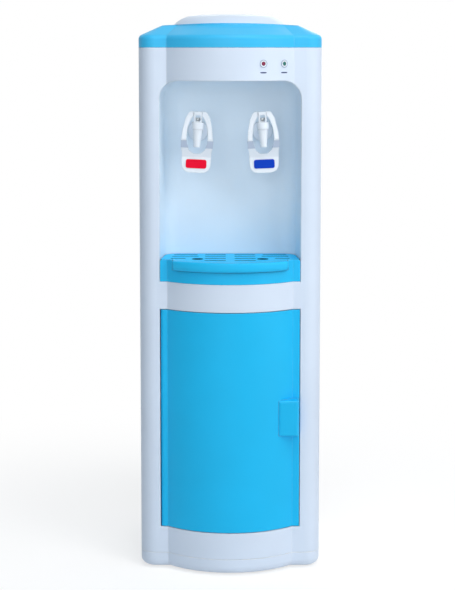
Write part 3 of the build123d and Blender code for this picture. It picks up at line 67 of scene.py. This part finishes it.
# Sky and floor
SKY_LEFT = 0.22
SKY_RIGHT = 0.52
SKY_LEFT_COLOUR = (0.66, 0.86, 1.0)
SKY_RIGHT_COLOUR = (0.94, 0.96, 0.98)
FLOOR_RADIUS = 12.0
FLOOR_PAINT = 0.8  # grey that throws light back at the object
SHADOW_PAINT = 0.4  # grey that is seen near the object, where its shadow falls
SHADOW_GLOW = 0.68  # added to that grey, so that only the shadow is darker than white
SHADOW_FADE = (0.35, 1.1)  # distances between which the floor turns to plain white

# Colours of the object, as linear red, green and blue
WHITE = (0.70, 0.79, 0.92)
# Paler copy of the white: painted light in the shaded tap recess
RECESS_LIT_WHITE = (0.79, 0.89, 0.98)
WHITE_TAP = (0.84, 0.90, 0.97)
PANEL_WHITE = (0.70, 0.78, 0.90)
BEZEL_WHITE = (0.76, 0.83, 0.92)
BACK_GREY = (0.55, 0.58, 0.62)
BLUE = (0.010, 0.51, 0.90)
# Paler copy of the blue: painted light and sheen on the tray's apron and grille
APRON_LIT_BLUE = (0.016, 0.53, 0.93)
# Paler copy of the blue: a painted sheen on the top cover
COVER_SHEEN_BLUE = (0.045, 0.52, 0.89)
GRIP_GREY = (0.50, 0.58, 0.72)
HOT_RED = (0.93, 0.003, 0.035)
COLD_BLUE = (0.004, 0.055, 0.55)
# Lamp lenses: each colour, then a darker copy that is painted shade at the rim
LENS_RED = (0.22, 0.004, 0.05)
LENS_RED_RIM_SHADE = (0.06, 0.002, 0.02)
LENS_GREEN = (0.006, 0.16, 0.13)
LENS_GREEN_RIM_SHADE = (0.002, 0.04, 0.035)
ROCKER_RED = (0.42, 0.012, 0.012)
ROCKER_GREEN = (0.012, 0.26, 0.07)
MARK_BLUE = (0.03, 0.05, 0.16)
MARK_WHITE = (0.80, 0.81, 0.80)
# Painted shade round each lamp's bezel
RING_SHADE_GREY = (0.20, 0.30, 0.44)
BOARD_GREEN = (0.015, 0.12, 0.04)
TRACE_GREEN = (0.05, 0.28, 0.1)

NOISE_SPREAD = (0.3, 0.7)  # most values of a noise texture lie between these
MIX_FIRST = 6  # sockets of a mix node for its two colours and its result
MIX_SECOND = 7
MIX_RESULT = 2

# Sizes of the model that the small pieces follow
BOW_RADIUS = 0.160122  # bowed middle of the front
BOW_CENTRE_Y = 0.000622
HOT_LAMP_X = 0.055
COLD_LAMP_X = 0.090
SCREW_ROWS = 4
SCREW_HEAD_RADIUS = 0.0036
ROCKER_TILT = 8.0  # degrees at rest, with the lower end pressed in
ROCKER_CROWN = 0.006  # ends of a rocker outside its pivot
ROCKER_DISH = 0.002  # middle of a rocker behind its ends
ROCKER_HALF = 0.0105

# Printed bar under each lamp, and a thin ring of painted shade round it
LABEL_DROP = 0.0148  # bar below the lamp
LABEL_WIDTH = 0.0105
LABEL_HEIGHT = 0.0022
LABEL_PROUD = 0.00012
RING_RADIUS = 0.0060
RING_WIRE = 0.00045  # radius of the ring's round section
RING_PROUD = 0.00085

# Rounded lip of the tray. Its section gives distances ahead of the tray's foremost line and
# heights above the tray's rim.
LIP_HALF = 0.0998  # half its length
LIP_END = 0.07  # share of each half along which it is drawn in
LIP_TIP = 0.1  # share of its depth that is left at each end
LIP_BACK = -0.0046
LIP_SECTION = (
    (0.0, 0.0), (0.0012, -0.0001), (0.0021, -0.0006), (0.0027, -0.0018), (0.0029, -0.0045),
    (0.0028, -0.0085), (0.0024, -0.0118), (0.0015, -0.0143), (0.0, -0.0158), (-0.0022, -0.0166),
    (LIP_BACK, -0.0170), (LIP_BACK, -0.0120), (-0.0010, -0.0010),
)

# Screws of the back panel, as radii and heights above the panel
SCREW_TIP = (0.0007, -0.006)
SCREW_HEAD = (
    (SCREW_HEAD_RADIUS, 0.0), (SCREW_HEAD_RADIUS, 0.0007), (0.0034, 0.0012), (0.0029, 0.0016),
    (0.0023, 0.0019),
)
THREAD_CREST = 0.0020
THREAD_ROOT = 0.0016
THREAD_START = -0.0052
THREAD_STEP = 0.0004  # from a crest to the next root
THREAD_RINGS = 13
CROSS_MOUTH = (0.0017, 0.00042, 0.0019)  # half length, half width and height of the cross recess
CROSS_PIT = (0.0012, 0.00030, 0.0008)

# Bar and ring on each rocker
MARK_THICKNESS = 0.0002
MARK_SUNK = 0.00005
BAR_HALF_WIDTH = 0.0006
BAR_HALF_HEIGHT = 0.0024
ZERO_RADIUS = 0.0023
ZERO_BORE = 0.0014


class Surface:
    """A material and the nodes that give it its detail."""

    def __init__(self):
        self.material = bpy.data.materials.new("surface")
        self.material.use_nodes = True
        self.tree = self.material.node_tree
        self.shader = self.tree.nodes["Principled BSDF"]
        self.place = self.add("ShaderNodeTexCoord").outputs["Object"]

    def supply(self, socket, value):
        """Link an output to a socket, or set the socket to a constant."""
        if isinstance(value, bpy.types.NodeSocket):
            self.tree.links.new(value, socket)
        elif socket.type == "RGBA":
            socket.default_value = (*value, 1.0)
        else:
            socket.default_value = value

    def add(self, kind, inputs=None, **settings):
        node = self.tree.nodes.new(kind)
        for key, value in settings.items():
            setattr(node, key, value)
        for key, value in (inputs or {}).items():
            self.supply(node.inputs[key], value)
        return node

    def set(self, **values):
        """Constants on the shader's own sockets, with underscores for the spaces in their names."""
        for key, value in values.items():
            self.shader.inputs[key.replace("_", " ")].default_value = value

    def feed(self, socket, output):
        self.tree.links.new(output, self.shader.inputs[socket])

    def noise(self, scale, detail=2.0, stretch=None):
        place = self.place
        if stretch:
            place = self.add("ShaderNodeMapping", {"Vector": place, "Scale": stretch}).outputs[0]
        inputs = {"Vector": place, "Scale": scale, "Detail": detail}
        return self.add("ShaderNodeTexNoise", inputs).outputs["Fac"]

    def ramp(self, value, low, high, start=0.0, end=1.0):
        """The value taken from low to high onto start to end."""
        limits = {"From Min": low, "From Max": high, "To Min": start, "To Max": end}
        return self.add("ShaderNodeMapRange", {"Value": value, **limits}).outputs[0]

    def varied(self, scale, detail=2.0, start=0.0, end=1.0):
        """Noise that covers the values from start to end."""
        return self.ramp(self.noise(scale, detail), *NOISE_SPREAD, start, end)

    def mix(self, factor, first, second):
        """A colour between two colours."""
        inputs = {"Factor": factor, MIX_FIRST: first, MIX_SECOND: second}
        return self.add("ShaderNodeMix", inputs, data_type="RGBA").outputs[MIX_RESULT]

    def math(self, operation, first, second):
        return self.add("ShaderNodeMath", {0: first, 1: second}, operation=operation).outputs[0]

    def softened(self, radius):
        """Normals rounded along the edges."""
        return self.add("ShaderNodeBevel", {"Radius": radius}, samples=6).outputs[0]

    def nearness(self, soft):
        """How near a point is to an edge, from the turn of its softened normal."""
        true = self.add("ShaderNodeNewGeometry").outputs["Normal"]
        pair = {0: soft, 1: true}
        alike = self.add("ShaderNodeVectorMath", pair, operation="DOT_PRODUCT").outputs["Value"]
        return self.ramp(alike, 0.999, 0.85)

    def painted_gap_shade(self, reach, depth):
        """Painted shade: one on open surfaces, falling by the given depth between parts and in inner corners."""
        shelter = self.add("ShaderNodeAmbientOcclusion", {"Distance": reach}, samples=8).outputs["AO"]
        return self.ramp(shelter, 0.25, 0.9, 1.0 - depth, 1.0)

    def bump(self, height, strength, distance, normal=None):
        inputs = {"Height": height, "Strength": strength, "Distance": distance}
        if normal:
            inputs["Normal"] = normal
        self.feed("Normal", self.add("ShaderNodeBump", inputs).outputs[0])

    def moulded_skin(self, smoothest, roughest, grain, soft):
        """The uneven gloss and the fine grain of moulded plastic."""
        self.feed("Roughness", self.varied(35.0, 4.0, smoothest, roughest))
        self.bump(self.noise(1400.0), grain, 0.0004, soft)


def shade(colour, factor):
    return tuple(min(1.0, part * factor) for part in colour)


def pale(colour, share):
    return tuple(part + (1.0 - part) * share for part in colour)


def moulded(
    colour, roughness, edge=0.0012, tone=0.03, grain=0.05, scuff_and_highlight=0.12, gap_shade=(0.003, 0.3), **constants
):
    """Moulded plastic: slow changes of tone, a fine grain, paler edges that are partly scuffed and partly painted
    highlight, and painted shade between parts.
    """
    surface = Surface()
    soft = surface.softened(edge)
    slow = surface.varied(6.0, 3.0)
    body = surface.mix(slow, shade(colour, 1.0 - tone), shade(colour, 1.0 + tone))
    # Paler edges: partly scuffing, partly a painted highlight
    edge_breakup = surface.ramp(surface.noise(120.0), 0.35, 0.65, 0.35, 1.0)
    scuffed_and_highlit_edges = surface.math("MULTIPLY", surface.nearness(soft), edge_breakup)
    outer = surface.mix(scuffed_and_highlit_edges, body, pale(colour, scuff_and_highlight))
    # Painted shade, darker between parts, in inner corners and under overhangs
    unshaded_share = surface.painted_gap_shade(*gap_shade)
    surface.feed("Base Color", surface.mix(unshaded_share, shade(colour, 0.1), outer))
    surface.moulded_skin(roughness - 0.04, roughness + 0.05, grain, soft)
    surface.set(**constants)
    return surface.material


def slotted_plastic():
    """The blue of the grille: a painted lighter top, and painted shade, much darker, on the upright walls of its
    slots.
    """
    surface = Surface()
    soft = surface.softened(0.0003)
    normal = surface.add("ShaderNodeNewGeometry").outputs["Normal"]
    upward = surface.add("ShaderNodeSeparateXYZ", {"Vector": normal}).outputs["Z"]
    # Painted light on the top and painted shade on the slot walls, chosen by which way each face points
    top = surface.mix(surface.varied(9.0, 3.0), shade(APRON_LIT_BLUE, 1.05), shade(APRON_LIT_BLUE, 1.11))
    level = surface.ramp(upward, 0.3, 0.7)
    surface.feed("Base Color", surface.mix(level, shade(BLUE, 0.16), top))
    surface.moulded_skin(0.40, 0.50, 0.05, soft)
    surface.set(Specular_IOR_Level=0.12)
    return surface.material


def painted(colour, roughness):
    """Painted sheet steel with a slight orange peel."""
    surface = Surface()
    soft = surface.softened(0.0008)
    body = surface.mix(surface.varied(4.0, 3.0), shade(colour, 0.97), shade(colour, 1.02))
    surface.feed("Base Color", surface.mix(surface.nearness(soft), body, pale(colour, 0.25)))
    surface.feed("Roughness", surface.varied(25.0, 3.0, roughness - 0.05, roughness + 0.05))
    surface.bump(surface.noise(420.0, 3.0), 0.10, 0.0005, soft)
    return surface.material


def metal(colour, roughness, stretch=(1.0, 1.0, 60.0)):
    """Bare metal, drawn along one direction."""
    surface = Surface()
    soft = surface.softened(0.0005)
    lines = surface.noise(60.0, 4.0, stretch)
    streaks = surface.ramp(lines, *NOISE_SPREAD)
    body = surface.mix(streaks, shade(colour, 0.86), shade(colour, 1.1))
    surface.feed("Base Color", surface.mix(surface.nearness(soft), body, pale(colour, 0.2)))
    gloss = surface.ramp(lines, *NOISE_SPREAD, roughness - 0.06, roughness + 0.1)
    surface.feed("Roughness", gloss)
    surface.bump(lines, 0.12, 0.0003, soft)
    surface.set(Metallic=1.0)
    return surface.material


def matt(colour, roughness):
    """Rubber or foam with a matt, speckled skin."""
    surface = Surface()
    soft = surface.softened(0.001)
    speckle = surface.ramp(surface.noise(260.0, 5.0), 0.35, 0.65)
    body = surface.mix(speckle, shade(colour, 0.85), shade(colour, 1.12))
    surface.feed("Base Color", surface.mix(surface.nearness(soft), body, pale(colour, 0.1)))
    surface.feed("Roughness", surface.varied(90.0, 2.0, roughness - 0.08, roughness + 0.1))
    surface.bump(speckle, 0.2, 0.0006, soft)
    return surface.material


def lens(rim_shade, bright):
    """A tinted lamp lens with a hard gloss, and painted shade towards its rim, where it turns away from the
    viewer.
    """
    surface = Surface()
    weight = surface.add("ShaderNodeLayerWeight", {"Blend": 0.35}).outputs["Facing"]
    swirl = surface.varied(300.0, 2.0, 0.85, 1.0)
    surface.feed("Base Color", surface.mix(surface.math("MULTIPLY", weight, swirl), bright, rim_shade))
    surface.feed("Roughness", surface.varied(200.0, 2.0, 0.06, 0.14))
    surface.set(Coat_Weight=0.25, Coat_Roughness=0.05, Specular_IOR_Level=0.3)
    return surface.material


def circuit_board():
    """Green solder mask with paler traces."""
    surface = Surface()
    traces = surface.ramp(surface.noise(500.0, 1.0, (1.0, 1.0, 6.0)), 0.48, 0.56)
    surface.feed("Base Color", surface.mix(traces, BOARD_GREEN, TRACE_GREEN))
    surface.feed("Roughness", surface.ramp(traces, 0.0, 1.0, 0.45, 0.3))
    surface.bump(traces, 0.2, 0.0001)
    return surface.material


materials = {
    "white_plastic": moulded(
        WHITE, 0.38, edge=0.0025, scuff_and_highlight=0.7, gap_shade=(0.002, 0.15), Specular_IOR_Level=0.25
    ),
    # Paler white: painted light in the shaded tap recess
    "recess_plastic": moulded(
        RECESS_LIT_WHITE, 0.38, edge=0.0025, scuff_and_highlight=0.5, gap_shade=(0.004, 0.3), Specular_IOR_Level=0.25
    ),
    "white_steel": painted(PANEL_WHITE, 0.38),
    "back_steel": painted(BACK_GREY, 0.45),
    "blue_plastic": moulded(BLUE, 0.38, edge=0.0022, gap_shade=(0.003, 0.25), Specular_IOR_Level=0.22),
    # Paler blue: a painted sheen on the top cover
    "cover_plastic": moulded(COVER_SHEEN_BLUE, 0.38, edge=0.003, scuff_and_highlight=0.2, Specular_IOR_Level=0.25),
    # Paler blue with painted sheen, and long-reaching painted shade that is a painted shadow under the tray's lip
    "apron_plastic": moulded(
        APRON_LIT_BLUE, 0.38, edge=0.0022, gap_shade=(0.02, 0.85), Specular_IOR_Level=0.22
    ),
    "grille_plastic": slotted_plastic(),
    "tap_plastic": moulded(WHITE_TAP, 0.24, scuff_and_highlight=0.3),
    "grip_plastic": moulded(GRIP_GREY, 0.5, edge=0.0006, grain=0.12),
    "hot_pad": moulded(HOT_RED, 0.4, edge=0.0006, tone=0.05, Specular_IOR_Level=0.08),
    "cold_pad": moulded(COLD_BLUE, 0.4, edge=0.0006, tone=0.05, Specular_IOR_Level=0.08),
    "silicone": matt((0.62, 0.65, 0.66), 0.5),
    "steel": metal((0.56, 0.57, 0.6), 0.28),
    "bezel_metal": moulded(BEZEL_WHITE, 0.2, edge=0.0006, scuff_and_highlight=0.3),
    "red_lens": lens(LENS_RED_RIM_SHADE, LENS_RED),
    "green_lens": lens(LENS_GREEN_RIM_SHADE, LENS_GREEN),
    "circuit_board": circuit_board(),
    "stainless": metal((0.58, 0.59, 0.6), 0.3),
    "foam": matt((0.70, 0.70, 0.66), 0.85),
    "heater": metal((0.42, 0.39, 0.36), 0.45),
    "aluminium": metal((0.66, 0.67, 0.69), 0.38, (30.0, 1.0, 1.0)),
    "black_plastic": moulded((0.022, 0.023, 0.026), 0.5, edge=0.0008, scuff_and_highlight=0.08, tone=0.1),
    "red_rocker": moulded(ROCKER_RED, 0.3, edge=0.0008),
    "green_rocker": moulded(ROCKER_GREEN, 0.3, edge=0.0008),
    "drain_plastic": moulded((0.66, 0.69, 0.72), 0.45, edge=0.0008),
    "rubber": matt((0.02, 0.02, 0.021), 0.75),
    "label_ink": moulded(MARK_BLUE, 0.5, edge=0.0001, tone=0.15),
    "rocker_ink": moulded(MARK_WHITE, 0.45, edge=0.0001, tone=0.05),
    "ring_plastic": moulded(RING_SHADE_GREY, 0.3, edge=0.0002, tone=0.08),
}
for name, material in materials.items():
    material.name = name

# Nodes whose look differs from that of their slot, by painted light and shade
own_material = {
    "tap_recess": "recess_plastic",
    "top_cover": "cover_plastic",
    "tray_apron": "apron_plastic",
    "drip_grille": "grille_plastic",
}
for entry in frame["record"]["subparts"]:
    node = entry["node"]
    data = frame["nodes"][node].data
    data.materials.clear()
    data.materials.append(materials[own_material.get(node, entry["material_slot"])])


def add_piece(name, bm, material, body):
    """A new piece of the object from a finished mesh."""
    bmesh.ops.recalc_face_normals(bm, faces=bm.faces)
    mesh = bpy.data.meshes.new(name)
    bm.to_mesh(mesh)
    bm.free()
    piece = bpy.data.objects.new(name, mesh)
    bpy.context.collection.objects.link(piece)
    mesh.materials.append(materials[material])
    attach(piece, body)
    return piece


def smooth(piece, degrees):
    """Smooth shading, with edges that turn by more than the angle left sharp."""
    piece.data.shade_smooth()
    piece.data.set_sharp_from_angle(angle=radians(degrees))


def middle(node):
    low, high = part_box(node)
    return (low + high) / 2


def loop_ring(bm, points):
    return [bm.verts.new(point) for point in points]


def join_rings(bm, first, second):
    """Faces between two closed rings with the same number of points."""
    count = len(first)
    for step in range(count):
        after = (step + 1) % count
        bm.faces.new((first[step], first[after], second[after], second[step]))


def join_row(bm, rings):
    """Faces from each ring to the next one."""
    for first, second in zip(rings, rings[1:]):
        join_rings(bm, first, second)


def circle(radius, height, count):
    """Points round the local Z axis."""
    turns = [2 * pi * step / count for step in range(count)]
    return [Vector((radius * cos(turn), radius * sin(turn), height)) for turn in turns]


def bow_point(x, z, proud):
    """A point on the bowed front, lifted off it a little."""
    turn = asin(x / BOW_RADIUS)
    reach = BOW_RADIUS + proud
    return Vector((reach * sin(turn), BOW_CENTRE_Y - reach * cos(turn), z))


def add_label_bar(name, place):
    """A plain printed bar with rounded ends that follows the bowed front under a lamp."""
    steps = 8
    z = place.z - LABEL_DROP
    bm = bmesh.new()
    columns = []
    for step in range(steps + 1):
        along = 2.0 * step / steps - 1.0
        x = place.x + along * LABEL_WIDTH / 2
        rise = LABEL_HEIGHT / 2 * sqrt(max(0.2, 1.0 - along ** 6))
        columns.append(loop_ring(bm, [bow_point(x, z + side * rise, LABEL_PROUD) for side in (-1, 1)]))
    for (a, b), (c, d) in zip(columns, columns[1:]):
        bm.faces.new((a, c, d, b))
    add_piece(name, bm, "label_ink", "cabinet")


def add_lamp_ring(name, place):
    """A thin dark ring round the edge of a lamp's bezel: painted shade along the bezel's raised side."""
    around = 48
    section = 10
    bm = bmesh.new()
    rings = []
    for step in range(around):
        angle = 2 * pi * step / around
        points = []
        for part in range(section):
            swing = 2 * pi * part / section
            reach = RING_RADIUS + RING_WIRE * cos(swing)
            points.append(Vector((reach * cos(angle), -RING_WIRE * sin(swing), reach * sin(angle))))
        rings.append(loop_ring(bm, points))
    join_row(bm, rings)
    join_rings(bm, rings[-1], rings[0])
    centre = bow_point(place.x, place.z, RING_PROUD)
    facing = Matrix.Rotation(asin(place.x / BOW_RADIUS), 4, "Z")
    bmesh.ops.transform(bm, matrix=Matrix.Translation(centre) @ facing, verts=bm.verts)
    piece = add_piece(name, bm, "ring_plastic", "cabinet")
    piece.data.shade_smooth()


def add_tray_lip():
    """The rounded nose along the front of the tray, drawn in at both ends."""
    steps = 72
    low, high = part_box("drip_tray")
    reach = BOW_CENTRE_Y - low.y
    half_turn = asin(LIP_HALF / reach)
    bm = bmesh.new()
    rings = []
    for step in range(steps + 1):
        along = 2.0 * step / steps - 1.0
        into_end = max(0.0, (abs(along) - 1.0 + LIP_END) / LIP_END)
        swell = sqrt(max(LIP_TIP ** 2, 1.0 - into_end ** 2))
        turn = half_turn * along
        points = []
        for out, rise in LIP_SECTION:
            radius = reach + LIP_BACK + (out - LIP_BACK) * swell
            y = BOW_CENTRE_Y - radius * cos(turn)
            points.append(Vector((radius * sin(turn), y, high.z + rise)))
        rings.append(loop_ring(bm, points))
    join_row(bm, rings)
    bm.faces.new(rings[0])
    bm.faces.new(rings[-1])
    piece = add_piece("tray_lip", bm, "apron_plastic", "tray")
    smooth(piece, 50.0)


def cross_points(half_length, half_width, height):
    """The twelve corners of a plus sign, in order round it."""
    corners = ((half_length, -half_width), (half_length, half_width), (half_width, half_width))
    points = []
    for quarter in range(4):
        spin = Matrix.Rotation(quarter * pi / 2, 3, "Z")
        points += [spin @ Vector((x, y, height)) for x, y in corners]
    return points


def closed_pairs(ring):
    """Each point of a ring with the next one."""
    return zip(ring, ring[1:] + ring[:1])


def screw_mesh(bm, place):
    """A pan-head screw with a cross recess and thread ridges, standing out along +Y."""
    count = 28
    thread = []
    for number in range(THREAD_RINGS):
        radius = THREAD_ROOT if number % 2 else THREAD_CREST
        thread.append((radius, THREAD_START + number * THREAD_STEP))
    profile = [SCREW_TIP, *thread, *SCREW_HEAD]
    rings = [loop_ring(bm, circle(radius, height, count)) for radius, height in profile]
    join_row(bm, rings)
    bm.faces.new(rings[0])
    mouth = loop_ring(bm, cross_points(*CROSS_MOUTH))
    pit = loop_ring(bm, cross_points(*CROSS_PIT))
    rim = [bm.edges.get(pair) for pair in closed_pairs(rings[-1])]
    cut = [bm.edges.new(pair) for pair in closed_pairs(mouth)]
    bmesh.ops.triangle_fill(bm, use_beauty=True, edges=rim + cut)
    join_rings(bm, mouth, pit)
    bm.faces.new(pit)
    verts = [vert for ring in rings for vert in ring] + mouth + pit
    upright = Matrix.Translation(place) @ Matrix.Rotation(-pi / 2, 4, "X")
    bmesh.ops.transform(bm, matrix=upright, verts=verts)


def add_panel_screws():
    """Detailed screws in place of the plain ones."""
    low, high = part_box("panel_screws")
    back_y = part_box("back_panel")[1].y
    step = (high.z - low.z - 2 * SCREW_HEAD_RADIUS) / (SCREW_ROWS - 1)
    bm = bmesh.new()
    for x in (low.x + SCREW_HEAD_RADIUS, high.x - SCREW_HEAD_RADIUS):
        for row in range(SCREW_ROWS):
            screw_mesh(bm, Vector((x, back_y, low.z + SCREW_HEAD_RADIUS + row * step)))
    piece = add_piece("cross_screws", bm, "steel", "cabinet")
    smooth(piece, 35.0)
    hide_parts("panel_screws")


def flat_mark(bm, outer, inner):
    """A raised mark between an outer outline and an inner one, or a solid one without it."""
    tops = []
    for outline in (outer, inner):
        if not outline:
            continue
        base = loop_ring(bm, outline)
        top = loop_ring(bm, [point + Vector((0, 0, MARK_THICKNESS)) for point in outline])
        join_rings(bm, base, top)
        tops.append(top)
    if inner:
        join_rings(bm, tops[0], tops[1])
    else:
        bm.faces.new(tops[0])


def add_rocker_marks(name):
    """A bar on the upper half of a rocker and a ring on its lower half, as on any mains switch."""
    count = 32
    pivot = Vector(next(j["pos_m"] for j in frame["joints"] if j["name"] == f"{name}_tilt"))
    slope = atan(ROCKER_DISH / ROCKER_HALF)
    out = ROCKER_CROWN - ROCKER_DISH / 2 - MARK_SUNK
    tilt = Matrix.Translation(pivot) @ Matrix.Rotation(radians(-ROCKER_TILT), 4, "X")
    signs = ((-1, -1), (1, -1), (1, 1), (-1, 1))
    bar = [Vector((x * BAR_HALF_WIDTH, y * BAR_HALF_HEIGHT, 0)) for x, y in signs]
    marks = ((1, bar, None), (-1, circle(ZERO_RADIUS, 0.0, count), circle(ZERO_BORE, 0.0, count)))
    bm = bmesh.new()
    for side, outer, inner in marks:
        start = len(bm.verts)
        flat_mark(bm, outer, inner)
        bm.verts.ensure_lookup_table()
        facing = Matrix.Rotation(-pi / 2 - side * slope, 4, "X")
        place = tilt @ Matrix.Translation((0, out, side * ROCKER_HALF / 2)) @ facing
        bmesh.ops.transform(bm, matrix=place, verts=bm.verts[start:])
    add_piece(f"{name}_marks", bm, "rocker_ink", name)


def add_light(name, place, size, power, colour):
    """A rectangular lamp aimed at the object's middle."""
    data = bpy.data.lights.new(name, "AREA")
    data.shape = "RECTANGLE"
    data.size, data.size_y = size
    data.energy = power
    data.color = colour
    light = bpy.data.objects.new(name, data)
    light.location = place
    aim = Vector(OBJECT_MIDDLE) - Vector(place)
    light.rotation_euler = aim.to_track_quat("-Z", "Y").to_euler()
    bpy.context.collection.objects.link(light)


def seen_directly(tree):
    """One for camera, glossy and transmission rays, so the background shows the same in reflections."""
    path = tree.nodes.new("ShaderNodeLightPath")
    either = path.outputs["Is Camera Ray"]
    for ray in ("Is Glossy Ray", "Is Transmission Ray"):
        node = tree.nodes.new("ShaderNodeMath")
        node.operation = "MAXIMUM"
        tree.links.new(either, node.inputs[0])
        tree.links.new(path.outputs[ray], node.inputs[1])
        either = node.outputs[0]
    return either


def mix_shaders(tree, factor, first, second):
    mix = tree.nodes.new("ShaderNodeMixShader")
    for number, output in enumerate((factor, first, second)):
        tree.links.new(output, mix.inputs[number])
    return mix.outputs[0]


def plain_shader(tree, kind, **constants):
    node = tree.nodes.new(kind)
    for socket, value in constants.items():
        node.inputs[socket].default_value = value
    return node.outputs[0]


def backdrop(tree, colour, strength):
    return plain_shader(tree, "ShaderNodeBackground", Color=(*colour, 1.0), Strength=strength)


def glow(tree, strength):
    return plain_shader(tree, "ShaderNodeEmission", Strength=strength)


def paint(tree, level):
    return plain_shader(tree, "ShaderNodeBsdfDiffuse", Color=(level, level, level, 1.0))


def make_world():
    """A soft sky, weaker and bluer on the left, that is plain white where it is seen."""
    world = bpy.data.worlds.new("studio")
    world.use_nodes = True
    bpy.context.scene.world = world
    tree = world.node_tree
    tree.nodes.clear()
    direction = tree.nodes.new("ShaderNodeTexCoord").outputs["Generated"]
    sideways = tree.nodes.new("ShaderNodeSeparateXYZ")
    tree.links.new(direction, sideways.inputs[0])
    to_right = tree.nodes.new("ShaderNodeMapRange")
    tree.links.new(sideways.outputs["X"], to_right.inputs["Value"])
    to_right.inputs["From Min"].default_value = -1.0
    left = backdrop(tree, SKY_LEFT_COLOUR, SKY_LEFT)
    right = backdrop(tree, SKY_RIGHT_COLOUR, SKY_RIGHT)
    sky = mix_shaders(tree, to_right.outputs[0], left, right)
    white = backdrop(tree, (1.0, 1.0, 1.0), 1.0)
    out = tree.nodes.new("ShaderNodeOutputWorld")
    tree.links.new(mix_shaders(tree, seen_directly(tree), sky, white), out.inputs[0])


def floor_material():
    """White where it is seen, apart from the object's shadow, and a plain pale grey to other light."""
    material = bpy.data.materials.new("floor_paint")
    material.use_nodes = True
    tree = material.node_tree
    tree.nodes.clear()
    near = tree.nodes.new("ShaderNodeAddShader")
    tree.links.new(paint(tree, SHADOW_PAINT), near.inputs[0])
    tree.links.new(glow(tree, SHADOW_GLOW), near.inputs[1])
    place = tree.nodes.new("ShaderNodeTexCoord").outputs["Object"]
    distance = tree.nodes.new("ShaderNodeVectorMath")
    distance.operation = "LENGTH"
    tree.links.new(place, distance.inputs[0])
    fade = tree.nodes.new("ShaderNodeMapRange")
    fade.interpolation_type = "SMOOTHSTEP"
    tree.links.new(distance.outputs["Value"], fade.inputs["Value"])
    fade.inputs["From Min"].default_value, fade.inputs["From Max"].default_value = SHADOW_FADE
    shown = mix_shaders(tree, fade.outputs[0], near.outputs[0], glow(tree, 1.0))
    out = tree.nodes.new("ShaderNodeOutputMaterial")
    tree.links.new(mix_shaders(tree, seen_directly(tree), paint(tree, FLOOR_PAINT), shown), out.inputs[0])
    return material


def make_floor():
    """A pale floor that keeps a soft shadow under the object."""
    bm = bmesh.new()
    bmesh.ops.create_circle(bm, cap_ends=True, segments=96, radius=FLOOR_RADIUS)
    mesh = bpy.data.meshes.new("floor")
    bm.to_mesh(mesh)
    bm.free()
    mesh.materials.append(floor_material())
    floor = bpy.data.objects.new("floor", mesh)
    bpy.context.collection.objects.link(floor)


def make_camera():
    data = bpy.data.cameras.new("camera")
    data.lens = CAMERA_LENS
    data.shift_y = CAMERA_SHIFT_Y
    camera = bpy.data.objects.new("camera", data)
    camera.location = CAMERA_PLACE
    camera.rotation_euler = (radians(90.0 - CAMERA_PITCH), 0.0, 0.0)
    bpy.context.collection.objects.link(camera)
    bpy.context.scene.camera = camera


for name, lamp_x in (("hot_lamp", HOT_LAMP_X), ("cold_lamp", COLD_LAMP_X)):
    lamp = Vector((lamp_x, 0.0, middle(f"{name}_lens").z))
    add_label_bar(f"{name}_mark", lamp)
    add_lamp_ring(f"{name}_ring", lamp)
add_tray_lip()
add_panel_screws()
for name in ("hot_rocker", "cold_rocker"):
    add_rocker_marks(name)
for name, settings in LAMPS.items():
    add_light(name, *settings)
make_world()
make_floor()
make_camera()
bpy.context.scene.view_settings.view_transform = "Standard"
